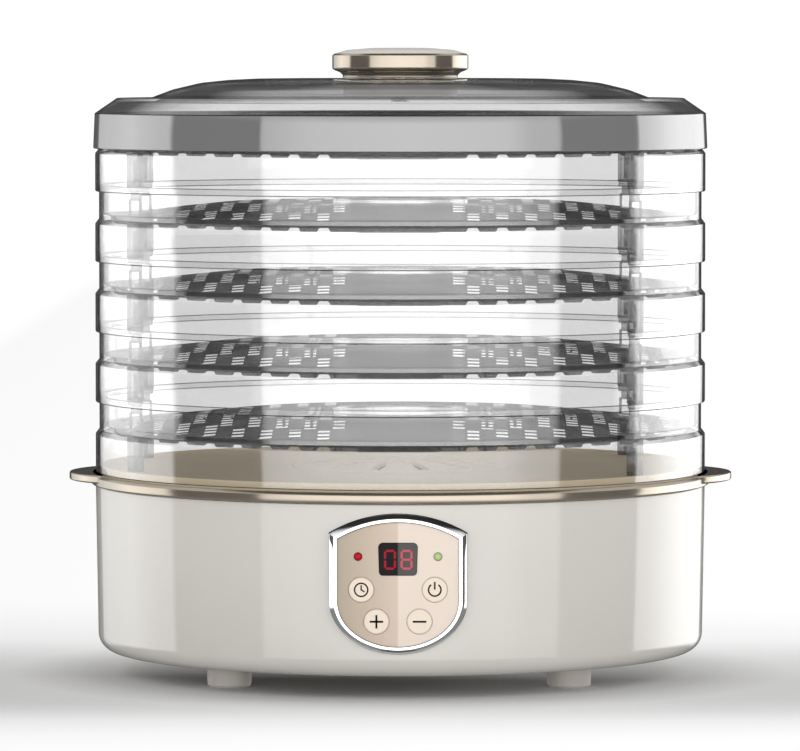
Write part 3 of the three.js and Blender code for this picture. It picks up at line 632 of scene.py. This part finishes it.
def tray_floor_mesh():
    """The perforated floor, laid out on a grid whose rim points are drawn onto circles."""
    xs = grid_lines()
    rows = int(FLOOR_EDGE / CELL) + 1
    ys = [row * CELL for row in range(-rows, rows + 1)]
    outer, inner = FLOOR_EDGE + 0.1, HUB + 2.3
    cells = floor_cells(xs, ys, inner, outer)
    corners = {}
    for i, j in cells:
        for corner in ((i, j), (i + 1, j), (i + 1, j + 1), (i, j + 1)):
            corners[corner] = corners.get(corner, 0) + 1
    verts, index = [], {}
    for (i, j), count in corners.items():
        x, y = xs[i], ys[j]
        radius = math.hypot(x, y)
        for rim, beyond in ((inner, radius < inner), (outer, radius > outer)):
            if beyond or (count < 4 and abs(radius - rim) < 2.4):
                x, y = x * rim / radius, y * rim / radius
                radius = rim
        top = floor_height(radius)
        index[(i, j)] = len(verts)
        verts.append((x, y, top))
        verts.append((x, y, top - FLOOR_THICKNESS))
    faces, borders = [], {}
    for i, j in cells:
        ring = [index[(i, j)], index[(i + 1, j)], index[(i + 1, j + 1)], index[(i, j + 1)]]
        faces.append(ring)
        faces.append([v + 1 for v in reversed(ring)])
        for a, b in zip(ring, ring[1:] + ring[:1]):
            if (b, a) in borders:
                del borders[(b, a)]
            else:
                borders[(a, b)] = True
    faces += [[b, a, a + 1, b + 1] for a, b in borders]
    return finish_mesh("tray_floor", verts, faces, 40)


def hub_outline():
    return fillet([
        (HUB, HUB_LIP, 0.8), (HUB, 1.0, 0.4), (HUB + 1.8, 1.0, 0.4),
        (HUB + 2.2, FLOOR_RISE, 0.0), (HUB + 2.2, HUB_LIP, 0.8),
    ], steps=3)


def rim_rib_mesh():
    """The rib that stiffens the floor's rim from below. It gets deeper in steps towards x = 0
    and is cut back under the slots."""
    count = 720
    sections = []
    for i in range(count):
        angle = 2 * math.pi * i / count
        x = abs(150.0 * math.cos(angle))
        steps = sum(1 for limit in (123.0, 93.0, 53.0, 20.0) if x < limit)
        column = (x - FIRST_SLOT) / SLOT_PITCH
        under_slot = column > -0.3 and abs(column - round(column)) * SLOT_PITCH < SLOT_WIDTH / 2
        bottom = -0.9 if under_slot else -1.8 - 0.35 * steps
        top = FLOOR_RIM - FLOOR_THICKNESS - 0.02
        ring = ((148.2, bottom), (150.4, bottom), (150.4, top), (148.2, top))
        sections.append([(r * math.cos(angle), r * math.sin(angle), z) for r, z in ring])
    return loft("tray_rim_rib", sections, loop=True)


def long_rib_mesh():
    """Straight ribs under the floor, between the columns of slots."""
    top = FLOOR_RISE - FLOOR_THICKNESS - 0.02
    depth = 3.4
    parts = []
    for column in (0, 1):
        x = FIRST_SLOT + (column + 0.5) * SLOT_PITCH
        reach = 2 * math.sqrt((PLATEAU - 6) ** 2 - x ** 2)
        for side in (-1, 1):
            parts.append((1.6, reach, depth, side * x, 0.0, top - depth / 2))
    return box_mesh("tray_long_ribs", parts, bevel=0.2)


def tray_posts_mesh():
    """Channel legs with a pin inside, and the capped pillars that carry the next tray."""
    parts = []
    leg_height = FLOOR_RIM - FLOOR_THICKNESS - LEG_BOTTOM
    for x, y in LEG_PLACES:
        middle = LEG_BOTTOM + leg_height / 2
        for side in (-1, 1):
            parts.append((1.5, 5.0, leg_height, x + side * 3.45, y, middle))
            parts.append((1.3, 4.4, 9.0, x + side * 2.6, y, 7.0))
        parts.append((5.2, 1.2, leg_height, x, y + math.copysign(1.9, y), middle))
        parts.append((8.4, 5.0, 1.5, x, y, LEG_BOTTOM + 0.75))
        parts.append((7.6, 5.6, 2.0, x, y, PILLAR_TOP - 1.0))
        parts.append((4.4, 3.4, 4.6, x, y, 13.0))
        parts.append((2.0, 2.0, 12.0, x, y, LEG_BOTTOM + 8.0))
    return box_mesh("tray_posts", parts, bevel=0.35)


def wall_part(point, normal, shoulder):
    """The wall's lips at the foot, the shoulder and the top are darker, like thick clear plastic."""
    z = point.z - shoulder
    if z < 0.7 - SKIRT_DEPTH or -0.5 < z < 0.5 and point.xy.length > INNER_WALL - 0.3 or z > 17.6:
        return 2
    return int(point.xy.dot(normal.xy) < 0)


def floor_part(point, normal):
    if normal.z > 0.5:
        return 0
    return 2 if point.xy.length > FLOOR_EDGE - 1 else 1


def rib_part(point, normal):
    """Faces that look towards the tray's middle are clear."""
    return int(point.xy.dot(normal.xy) < -0.5 * point.xy.length)


def make_trays():
    wall = revolve("tray_wall", tray_wall_outline(), ROUND)
    floor = tray_floor_mesh()
    hub = revolve("tray_hub", hub_outline(), 96)
    ribs = joined("tray_ribs", [rim_rib_mesh(), long_rib_mesh()])
    posts = tray_posts_mesh()
    for number in TRAYS:
        body = f"tray_{number}"
        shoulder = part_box(body)[0].z / MM + SKIRT_DEPTH
        lift = Matrix.Translation((0.0, 0.0, shoulder * MM))
        pieces = {
            "floor": (floor, M_FLOOR, (M_SLOT, M_RIB), floor_part),
            "hub": (hub, M_INNER, (), None),
            "ribs": (ribs, M_RIB, (M_SLOT,), rib_part),
            "posts": (posts, M_POST, (), None),
            "wall": (wall, M_CLEAR, (M_INNER, M_LIP), lambda p, n, z=shoulder: wall_part(p, n, z)),
        }
        for part, (mesh, material, others, which) in pieces.items():
            copy = mesh.copy()
            copy.transform(lift)
            node = body if part == "wall" else None
            put(f"{body}_{part}", copy, material, body, node, others, which)


# ------------------------------------------------------------------ lid and knob

DOME_RADIUS, LID_SHOULDER, LID_RIM = 131.0, 293.0, 301.0
DOME_FOLD = 127.2
VENTS = 16


def lid_outline():
    outer = [
        (INNER_WALL + 0.8, LID_BOTTOM, 0.5), (BODY_RADIUS + 1.0, LID_BOTTOM, 0.7),
        (BODY_RADIUS + 0.2, LID_SHOULDER, 0.7), (148.5, LID_RIM, 0.7), (DOME_RADIUS, LID_RIM, 0.3),
        (DOME_FOLD, 302.45), (119.3, 305.4, 20), (104.7, 308.9, 40), (90.0, 310.4, 60),
        (75.5, 311.1, 60), (61.0, LID_TOP, 20), (2.6, LID_TOP),
    ]
    inner = [
        (2.6, LID_TOP - WALL), (61.0, LID_TOP - WALL, 20), (75.3, 311.1 - WALL, 60),
        (89.5, 310.4 - WALL, 60), (103.9, 308.9 - WALL, 40), (118.0, 305.4 - WALL, 20),
        (DOME_RADIUS - 1.0, LID_RIM - WALL, 0.5),
        (147.8, LID_RIM - WALL, 0.7), (INNER_WALL + 0.8, LID_SHOULDER, 0.5),
    ]
    return fillet(outer + inner, steps=4)


def knob_outline():
    neck_bottom = LID_TOP + GAP
    return fillet([
        (2.6, neck_bottom), (30.5, neck_bottom, 0.3), (29.9, 312.6, 1.0), (31.7, 314.4, 3.0),
        (34.6, 315.5, 0.5), (KNOB_RADIUS - 0.1, 316.3, 0.4), (KNOB_RADIUS, 317.0, 0.4),
        (KNOB_RADIUS, 323.3, 0.5), (KNOB_RADIUS - 1.2, 324.2, 0.4), (28.0, 326.1, 10),
        (14.0, KNOB_TOP - 0.1, 10), (0.0, KNOB_TOP), (0.0, 321.0), (2.6, 321.0),
    ], steps=5)


def lid_part(point, normal):
    """The skirt and the fold at the foot of the dome are darker than the rest of the lid."""
    radius = point.xy.length
    if radius > BODY_RADIUS - 0.6 and abs(point.z - LID_SHOULDER) < 0.4:
        return 2
    if radius > INNER_WALL and point.z < LID_SHOULDER and abs(normal.z) < 0.5:
        return 1
    return 2 if DOME_FOLD < radius < DOME_RADIUS + 0.6 and normal.z > 0 else 0


def knob_part(point, normal):
    # The flat top gets the pale copy of the gold: painted light.
    return int(normal.z > 0.9 and point.z > KNOB_TOP - 4)


def lid_mesh():
    vents = []
    for i in range(VENTS):
        vent = box_mesh("vent", [(24.0, 4.0, 12.0, 60.0, 0.0, LID_TOP)], bevel=1.2)
        vent.transform(Matrix.Rotation(2 * math.pi * (i + 0.5) / VENTS, 4, "Z"))
        vents.append(vent)
    return carve(revolve("lid_shell", lid_outline(), ROUND), joined("vents", vents), flat_caps=False)


def make_lid():
    put("lid_shell", lid_mesh(), M_DOME, "lid", "lid", (M_SKIRT, M_FOLD), lid_part)
    knob = revolve("knob", knob_outline(), 128)
    put("knob", knob, M_GOLD, "lid", "knob_cap", (M_KNOB_TOP_PAINTED_LIGHT,), knob_part)
    base = fillet([(2.6, 301.7, 0.3), (29.8, 301.7, 0.8), (29.8, 308.7, 0.4), (2.6, 308.7, 0.3)])
    put("knob_seat", revolve("knob_seat", base, 96), M_SEAT, "lid", node="knob_base")
    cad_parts["knob_screw"].data.materials[0] = M_STEEL


# ------------------------------------------------------------------ base shells


def housing_outline():
    foot = 158.6
    return fillet([
        (140.0, HOUSING_BOTTOM, 0.5), (foot, HOUSING_BOTTOM, 12.0), (BODY_RADIUS, HOUSING_TOP, 0.5),
        (BODY_RADIUS - 2.7, HOUSING_TOP, 0.4), (foot - 3.0, 25.0, 4.0), (foot - 7.0, 17.5, 3.0),
        (134.0, 17.5, 0.4), (134.0, 14.5, 0.2), (140.0, 14.5, 0.2),
    ], steps=8)


def ring_outline():
    inside = 157.2
    outer = EAR_REACH - 11.6
    return fillet([
        (inside, RING_BOTTOM, 0.2), (outer - 0.7, RING_BOTTOM, 0.5), (outer - 0.1, 99.5, 0.6),
        (outer, 101.4, 1.2), (outer - 0.1, 103.3, 0.6), (outer - 1.1, RING_TOP, 0.5),
        (inside, RING_TOP, 0.3),
    ], steps=3)


def arc_points(centre, radius, start, end, count):
    """Points along an arc, angles in radians, both ends included."""
    points = []
    for i in range(count + 1):
        angle = start + (end - start) * i / count
        points.append((centre[0] + radius * math.cos(angle), centre[1] + radius * math.sin(angle)))
    return points


def ear_mesh(side):
    """A lifting tab: a wide shallow disc segment that meets the ring."""
    half_span, root = 43.0, 156.6
    rise = EAR_REACH - root
    radius = (half_span ** 2 + rise ** 2) / (2 * rise)
    centre = (EAR_REACH - radius, 0.0)
    inner = BODY_RADIUS + 0.6
    meet = math.acos((inner ** 2 + centre[0] ** 2 - radius ** 2) / (2 * inner * centre[0]))
    meet_point = (inner * math.cos(meet), inner * math.sin(meet))
    nose = math.atan2(meet_point[1], meet_point[0] - centre[0])
    outline = arc_points(centre, radius, -nose, nose, 40)
    outline += arc_points((0.0, 0.0), inner, meet, -meet, 24)[1:-1]
    outline = [(side * x, y) for x, y in outline]
    if side < 0:
        outline.reverse()
    return slab("ear", outline, 100.9, 105.1, 0.9, lying, steps=4, both=True)


def housing_mesh():
    shell = revolve("base_shell", housing_outline(), 288)
    panel_hole = slab("panel_hole", shield_outline(-GAP), 130.0, 175.0, 0.01, standing, steps=1)
    inlet_hole = box_mesh("inlet_hole", [(28.6, 30.0, 20.6, 0.0, 158.0, 41.0)], bevel=0.8)
    return carve(shell, joined("holes", [panel_hole, inlet_hole]), 30, flat_caps=False)


def deck_outline():
    plate_bottom, plate_top = 105.0, 108.0
    collar, wall = 156.8, 153.8
    return fillet([
        (57.0, plate_bottom, 0.3), (wall, plate_bottom, 0.2), (wall, 96.0, 0.3), (collar, 96.0, 0.3),
        (collar, 109.0, 0.4), (wall, 109.0, 0.4), (wall, plate_top, 0.3), (57.0, plate_top, 0.6),
    ], steps=4)


def make_base():
    put("base_housing_shell", housing_mesh(), M_CREAM, "base", node="base_housing")
    ring = joined("ring", [revolve("band", ring_outline(), 288), ear_mesh(1), ear_mesh(-1)], 40)
    put("trim_ring_band", ring, M_GOLD, "base", node="trim_ring")
    deck = revolve("deck", deck_outline(), 192)
    put("base_deck_plate", deck, M_DECK, "base", node="base_deck")
    foot = fillet([
        (0.0, 0.0), (10.2, 0.0, 0.3), (11.2, 1.2, 0.8), (11.6, 11.3, 0.2), (0.0, 11.3),
    ], steps=4)
    for name in FEET:
        mesh = revolve(name, foot, 64, centre=middle_of(name).xy)
        put(f"{name}_pad", mesh, M_FOOT, "base", node=name)


# ------------------------------------------------------------------ control panel

PANEL_HALF_WIDTH, PANEL_CORNER, PANEL_TOP = 34.5, 84.2, 94.0
PANEL_SIDE, PANEL_BOTTOM = 50.5, 23.7
BEZEL_SLOPE, BEZEL_WIDTH = 2.3, 4.0
ARCH_POINTS, ARCH_LIFT = 40, 0.36
PLATE_FRONT = PANEL_FRONT - 1.1
BUTTON_FRONT = PANEL_FRONT - 0.2
BUTTON_RADIUS = 6.35
LAMP_RADIUS = 2.1
INK_DEPTH = 0.06


def shield_outline(inset):
    """The panel's outline: an arched top, straight sides and an elliptical lower edge."""
    half_width = PANEL_HALF_WIDTH - inset
    sagitta = (PANEL_TOP - inset) - (PANEL_CORNER - 0.65 * inset)
    radius = (half_width ** 2 + sagitta ** 2) / (2 * sagitta)
    half_angle = math.asin(half_width / radius)
    middle = (0.0, PANEL_TOP - inset - radius)
    points = arc_points(middle, radius, math.pi / 2 - half_angle, math.pi / 2 + half_angle, ARCH_POINTS)
    side_height = PANEL_CORNER - 0.65 * inset - PANEL_SIDE
    points += [(-half_width, PANEL_SIDE + side_height * (1 - t / 6)) for t in range(1, 6)]
    drop = PANEL_SIDE - PANEL_BOTTOM - 0.9 * inset
    for i in range(73):
        angle = math.pi + math.pi * i / 72
        points.append((half_width * math.cos(angle), PANEL_SIDE + drop * math.sin(angle)))
    points += [(half_width, PANEL_SIDE + side_height * t / 6) for t in range(1, 6)]
    return points


def bezel_mesh():
    """A plated frame: a steep outer slope, a narrow flat front and a rounded inner edge."""
    front = PANEL_FRONT
    profile = [
        (0.0, front - 10.0), (0.0, front - 2.5), (0.15, front - 2.26), (BEZEL_SLOPE - 0.1, front - 0.1),
        (BEZEL_SLOPE + 0.15, front), (BEZEL_WIDTH - 0.35, front), (BEZEL_WIDTH - 0.1, front - 0.1),
        (BEZEL_WIDTH, front - 0.35), (BEZEL_WIDTH, front - 10.0),
    ]
    sections = []
    for inset, depth in profile:
        lift = 0.0 if front - depth > 9 else (front - depth) * ARCH_LIFT
        section = []
        for i, (x, z) in enumerate(shield_outline(inset)):
            section.append(standing(x, z, depth + (lift if i <= ARCH_POINTS else 0.0)))
        sections.append(section)
    return loft("bezel", sections, loop=True, sharp_deg=12)


def rounded_trapezoid(spare=0.0):
    """The display window's outline, slightly wider at the top."""
    low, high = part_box("display_window")
    middle = middle_of("display_window")
    half_height = (high.z - low.z) / (2 * MM) + spare
    half_top = (high.x - low.x) / (2 * MM) + spare
    half_bottom = half_top + 0.3
    top, bottom = middle.z + half_height, middle.z - half_height
    corners = [(half_bottom - 0.8, bottom, 2.0), (half_top, top, 2.4)]
    corners += [(-half_top, top, 2.4), (-half_bottom + 0.8, bottom, 2.0)]
    return fillet(corners, steps=8)


def disc(radius, front, thickness, x, z, edge, sides=64):
    """A round plate in the panel's plane with a rounded front edge."""
    outline = arc_points((x, z), radius, 0.0, 2 * math.pi * (sides - 1) / sides, sides - 1)
    return slab("disc", outline, front - thickness, front, edge, standing, steps=4)


def plate_mesh():
    outline = shield_outline(BEZEL_WIDTH + 0.15)
    blank = slab("plate", outline, PLATE_FRONT - 2.0, PLATE_FRONT, 0.15, standing)
    holes = [slab("hole", rounded_trapezoid(0.15), 150.0, 170.0, 0.01, standing, steps=1)]
    for name in BUTTONS:
        place = middle_of(f"button_{name}")
        holes.append(disc(BUTTON_RADIUS + 0.15, 170.0, 20.0, place.x, place.z, 0.01))
    for name in ("red_led", "green_led"):
        place = middle_of(name)
        holes.append(disc(LAMP_RADIUS + 0.12, 170.0, 20.0, place.x, place.z, 0.01, 40))
    return carve(blank, joined("holes", holes), 30)


def lamp_mesh(place):
    """A round lens with a domed front."""
    outline = [(0.0, 155.0), (LAMP_RADIUS, 155.0)]
    for i in range(9):
        angle = math.pi / 2 * i / 8
        outline.append((LAMP_RADIUS * math.cos(angle), PANEL_FRONT - 1.5 + 1.5 * math.sin(angle)))
    mesh = revolve("lamp", outline[:-1] + [(0.0, PANEL_FRONT)], 48, sharp_deg=50)
    mesh.transform(Matrix.Rotation(math.pi / 2, 4, "X"))
    mesh.transform(Matrix.Translation((place.x * MM, 0.0, place.z * MM)))
    return mesh


def stroke(start, end, width, front, thickness):
    """A straight printed line with square ends, in the panel's plane."""
    a, b = Vector(start), Vector(end)
    along = (b - a).normalized() * width / 2
    across = Vector((-along.y, along.x))
    corners = [a - along - across, b + along - across, b + along + across, a - along + across]
    return slab("stroke", [tuple(c) for c in corners], front - thickness, front, 0.01, standing, steps=1)


def ring_stroke(centre, radius, width, start, end, front, thickness):
    """A printed arc, angles in degrees."""
    a, b = math.radians(start), math.radians(end)
    outline = arc_points(centre, radius + width / 2, a, b, 40)
    outline += arc_points(centre, radius - width / 2, b, a, 40)
    if end - start >= 360:
        outer = arc_points(centre, radius + width / 2, a, b, 40)[:-1]
        inner = arc_points(centre, radius - width / 2, a, b, 40)[:-1]
        rings = [[standing(x, z, d) for x, z in ring] for ring, d in (
            (outer, front - thickness), (outer, front), (inner, front), (inner, front - thickness))]
        return loft("ring", rings, loop=True)
    return slab("arc", outline, front - thickness, front, 0.01, standing, steps=1)


def button_marks(name, x, z):
    """The sign printed on a button: a clock, an on-off sign, a plus or a minus."""
    front, depth = BUTTON_FRONT + INK_DEPTH, INK_DEPTH + 0.1
    if name == "plus":
        return [stroke((x - 2.9, z), (x + 2.9, z), 1.0, front, depth),
                stroke((x, z - 2.9), (x, z + 2.9), 1.0, front, depth)]
    if name == "minus":
        return [stroke((x - 2.9, z), (x + 2.9, z), 1.0, front, depth)]
    if name == "mode":
        return [ring_stroke((x, z), 3.3, 0.75, 0, 360, front, depth),
                stroke((x, z), (x, z + 2.0), 0.7, front, depth),
                stroke((x, z), (x + 1.4, z - 0.8), 0.7, front, depth)]
    return [ring_stroke((x, z), 3.1, 0.8, -235, 55, front, depth),
            stroke((x, z + 0.6), (x, z + 3.6), 0.8, front, depth)]


DIGITS = {"0": "abcdef", "8": "abcdefg"}


def digit_segments(text, x, z, width, height, bar):
    """Seven-segment strokes. The height runs from the middle of the lowest bar to that of the top one."""
    half_w, half_h = width / 2, height / 2
    spots = {
        "a": ((-1, 1), (1, 1)), "b": ((1, 1), (1, 0)), "c": ((1, 0), (1, -1)), "d": ((-1, -1), (1, -1)),
        "e": ((-1, 0), (-1, -1)), "f": ((-1, 1), (-1, 0)), "g": ((-1, 0), (1, 0)),
    }
    meshes = []
    front = PLATE_FRONT + 0.4 + 0.05
    for letter in DIGITS[text]:
        (ax, az), (bx, bz) = spots[letter]
        a = Vector((x + ax * half_w, z + az * half_h))
        b = Vector((x + bx * half_w, z + bz * half_h))
        along = (b - a).normalized()
        trim = along * (0.62 * bar)
        side = Vector((-along.y, along.x)) * bar / 2
        tip = along * bar / 2
        start, end = a + trim, b - trim
        corners = [start - tip * 0.9, start - side, end - side, end + tip * 0.9, end + side, start + side]
        outline = [tuple(corner) for corner in corners]
        meshes.append(slab("segment", outline, front - 0.15, front, 0.03, standing, steps=1))
    return meshes


def make_panel():
    put("panel_bezel_frame", bezel_mesh(), M_CHROME, "base", node="panel_bezel")
    put("panel_plate_face", plate_mesh(), M_PLATE, "base", node="panel_plate")
    window = slab("window", rounded_trapezoid(), PLATE_FRONT - 1.6, PLATE_FRONT + 0.4, 0.25, standing)
    put("display_glass", window, M_WINDOW, "base", node="display_window")
    place = middle_of("display_window")
    digits = digit_segments("0", place.x - 4.0, place.z - 0.2, 4.9, 8.9, 1.15)
    digits += digit_segments("8", place.x + 4.3, place.z - 0.2, 4.9, 8.9, 1.15)
    put("display_digits", joined("digits", digits), M_DIGIT, "base")
    for name, material in (("red", M_RED), ("green", M_GREEN)):
        lens = lamp_mesh(middle_of(f"{name}_led"))
        put(f"{name}_led_lens", lens, material, "base", node=f"{name}_led")
    for name in BUTTONS:
        node = f"button_{name}"
        place = middle_of(node)
        cap = disc(BUTTON_RADIUS, BUTTON_FRONT, 7.0, place.x, place.z, 0.8)
        put(f"{node}_cap", cap, M_BUTTON, node, node=node)
        marks = joined("marks", button_marks(name, place.x, place.z))
        put(f"{node}_sign", marks, M_INK, node)


# ------------------------------------------------------------------ CAD nodes that stay

KEPT = {
    M_BOARD: ("control_board", "power_board"),
    M_BLACK: ("air_duct", "fan_impeller", "display_module", "tact_switch_mode", "tact_switch_start",
              "tact_switch_plus", "tact_switch_minus", "power_inlet", "power_relay", "power_capacitor",
              "temperature_sensor"),
    M_MICA: ("heater_frame",),
    M_DECK: ("air_grille",),
    M_CREAM: ("bottom_cover",),
}


def dress_cad_nodes():
    dressed = {name: material for material, names in KEPT.items() for name in names}
    for name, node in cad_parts.items():
        material = dressed.get(name, M_STEEL)
        node.data.materials.clear()
        node.data.materials.append(material)


# ------------------------------------------------------------------ floor, light and camera

# Painted light and shadow on the floor: how much it glows by itself along Y, in metres. The glow fades out
# in a band at and just in front of the object, which leaves a painted shadow there.
FLOOR_PAINTED_GLOW = ((-0.37, 1.0), (-0.312, 0.9), (-0.246, 0.6), (-0.2, 0.22), (-0.153, 0.02), (-0.1, 0.0),
              (-0.055, 0.0), (0.051, 0.26), (0.164, 0.71), (0.285, 0.87), (0.415, 1.0))


def make_floor():
    """A pale studio floor with painted light and shadow: its colour is painted darker close to the object,
    a painted shadow, and it glows by itself, burning out to white in front and behind.
    """
    n = Nodes(bpy.data.materials.new("floor_painted_light_and_shadow"))
    place = n.add("ShaderNodeSeparateXYZ")
    n.link(n.add("ShaderNodeTexCoord").outputs["Object"], place.inputs[0])
    x, y, _ = place.outputs
    depth = n.ramp(n.math("ADD", y, 0.5), [(0.5 + at, grey(glow)) for at, glow in FLOOR_PAINTED_GLOW])
    # Painted light: the glow also rises towards the sides and is a little stronger on the right.
    beside = n.ramp(n.math("ABSOLUTE", x), [(0.25, grey(0)), (0.5, grey(1))])
    lean = n.math("MULTIPLY", x, 0.35)
    share = n.math("MAXIMUM", n.math("ADD", depth, lean, clamp=True), beside)
    diffuse = n.add("ShaderNodeBsdfDiffuse")
    reach = n.math("SQRT", n.math("ADD", n.math("POWER", x, 2.0), n.math("POWER", y, 2.0)))
    # Painted shadow: the floor's colour is darker within 0.165 m of the middle and lightens out to 0.205 m.
    n.link(n.ramp(reach, [(0.165, grey(0.68)), (0.205, grey(0.90))]), diffuse.inputs["Color"])
    glow = n.add("ShaderNodeEmission")
    mix = n.add("ShaderNodeMixShader")
    n.link(share, mix.inputs[0])
    n.link(diffuse.outputs[0], mix.inputs[1])
    n.link(glow.outputs[0], mix.inputs[2])
    n.link(mix.outputs[0], n.output.inputs["Surface"])
    mesh = bpy.data.meshes.new("floor")
    rim = [(8.0 * math.cos(math.pi * i / 32), 8.0 * math.sin(math.pi * i / 32), 0.0) for i in range(64)]
    mesh.from_pydata(rim, [], [list(range(64))])
    mesh.materials.append(n.owner)
    floor = bpy.data.objects.new("floor", mesh)
    scene.collection.objects.link(floor)
    floor.visible_glossy = False


# Brightness of the lights around the object by azimuth, 0 in front and 90 on the right
AROUND = (
    (-180, 0.06), (-157, 0.06), (-155, 0.9), (-136, 1.8), (-120, 2.9), (-106, 2.7), (-95, 2.5),
    (-93.6, 0.12), (-53.4, 0.12), (-51.8, 2.2), (-33, 3.0), (4, 3.4), (41, 3.1), (50, 2.3), (61.4, 2.2),
    (63, 0.12), (99.6, 0.12), (101.2, 3.0), (119, 4.2), (130, 4.0), (143, 2.9), (161, 1.6), (163, 0.06),
    (180, 0.06),
)
# Brightness below, above, straight up and low behind the object
GROUND, SKY, ZENITH, BEHIND = 0.28, 1.1, 0.03, 0.14


def make_world():
    """White studio: a wide soft light in front, dark gaps at its sides, a dark strip behind."""
    world = bpy.data.worlds.new("studio")
    scene.world = world
    n = Nodes(world, "ShaderNodeOutputWorld")
    direction = n.add("ShaderNodeSeparateXYZ")
    n.link(n.add("ShaderNodeTexCoord").outputs["Generated"], direction.inputs[0])
    x, y, z = direction.outputs
    ahead = n.math("MULTIPLY", y, -1.0)
    degrees = 180 / math.pi
    azimuth = n.math("MULTIPLY", n.math("ARCTAN2", x, ahead), degrees)
    elevation = n.math("MULTIPLY", n.math("ARCSINE", z), degrees)
    turn = n.math("DIVIDE", n.math("ADD", azimuth, 180.0), 360.0)

    def at(angle):
        return (angle + 180.0) / 360.0

    band = n.ramp(turn, [(at(angle), grey(brightness)) for angle, brightness in AROUND])
    height = n.math("DIVIDE", n.math("ADD", elevation, 90.0), 180.0)

    def up(angle):
        return (angle + 90.0) / 180.0

    in_band = n.ramp(height, [(up(-16), grey(0)), (up(-11), grey(1)), (up(7), grey(1)), (up(12), grey(0))])
    rest = n.ramp(height, [
        (up(-5), grey(GROUND)), (up(5), grey(SKY)), (up(50), grey(SKY)), (up(56), grey(ZENITH))])
    away = n.math("DIVIDE", n.math("ABSOLUTE", azimuth), 180.0)
    behind = n.ramp(away, [(146 / 180, grey(0)), (154 / 180, grey(1))])
    low = n.ramp(height, [(up(24), grey(1)), (up(34), grey(0))])
    rest = n.blend(n.math("MULTIPLY", behind, low), rest, grey(BEHIND))
    light = n.add("ShaderNodeBackground")
    n.link(n.blend(in_band, rest, band), light.inputs["Color"])
    white = n.add("ShaderNodeBackground")
    white.inputs["Color"].default_value = (1.0, 1.0, 1.0, 1.0)
    white.inputs["Strength"].default_value = 1.05
    path = n.add("ShaderNodeLightPath")
    choose = n.add("ShaderNodeMixShader")
    n.link(path.outputs["Is Camera Ray"], choose.inputs[0])
    n.link(light.outputs[0], choose.inputs[1])
    n.link(white.outputs[0], choose.inputs[2])
    n.link(choose.outputs[0], n.output.inputs["Surface"])


def make_camera():
    data = bpy.data.cameras.new("camera")
    data.sensor_width = 36.0
    data.lens = 274.0
    data.clip_end = 50.0
    camera = bpy.data.objects.new("camera", data)
    camera.location = (0.023, -3.197, 0.3208)
    camera.rotation_euler = (math.radians(90.0 - 2.966), 0.0, math.radians(0.415))
    scene.collection.objects.link(camera)
    scene.camera = camera


dress_cad_nodes()
make_trays()
make_lid()
make_base()
make_panel()
make_floor()
make_world()
make_camera()
scene.view_settings.view_transform = "Standard"
scene.cycles.transparent_max_bounces = 48
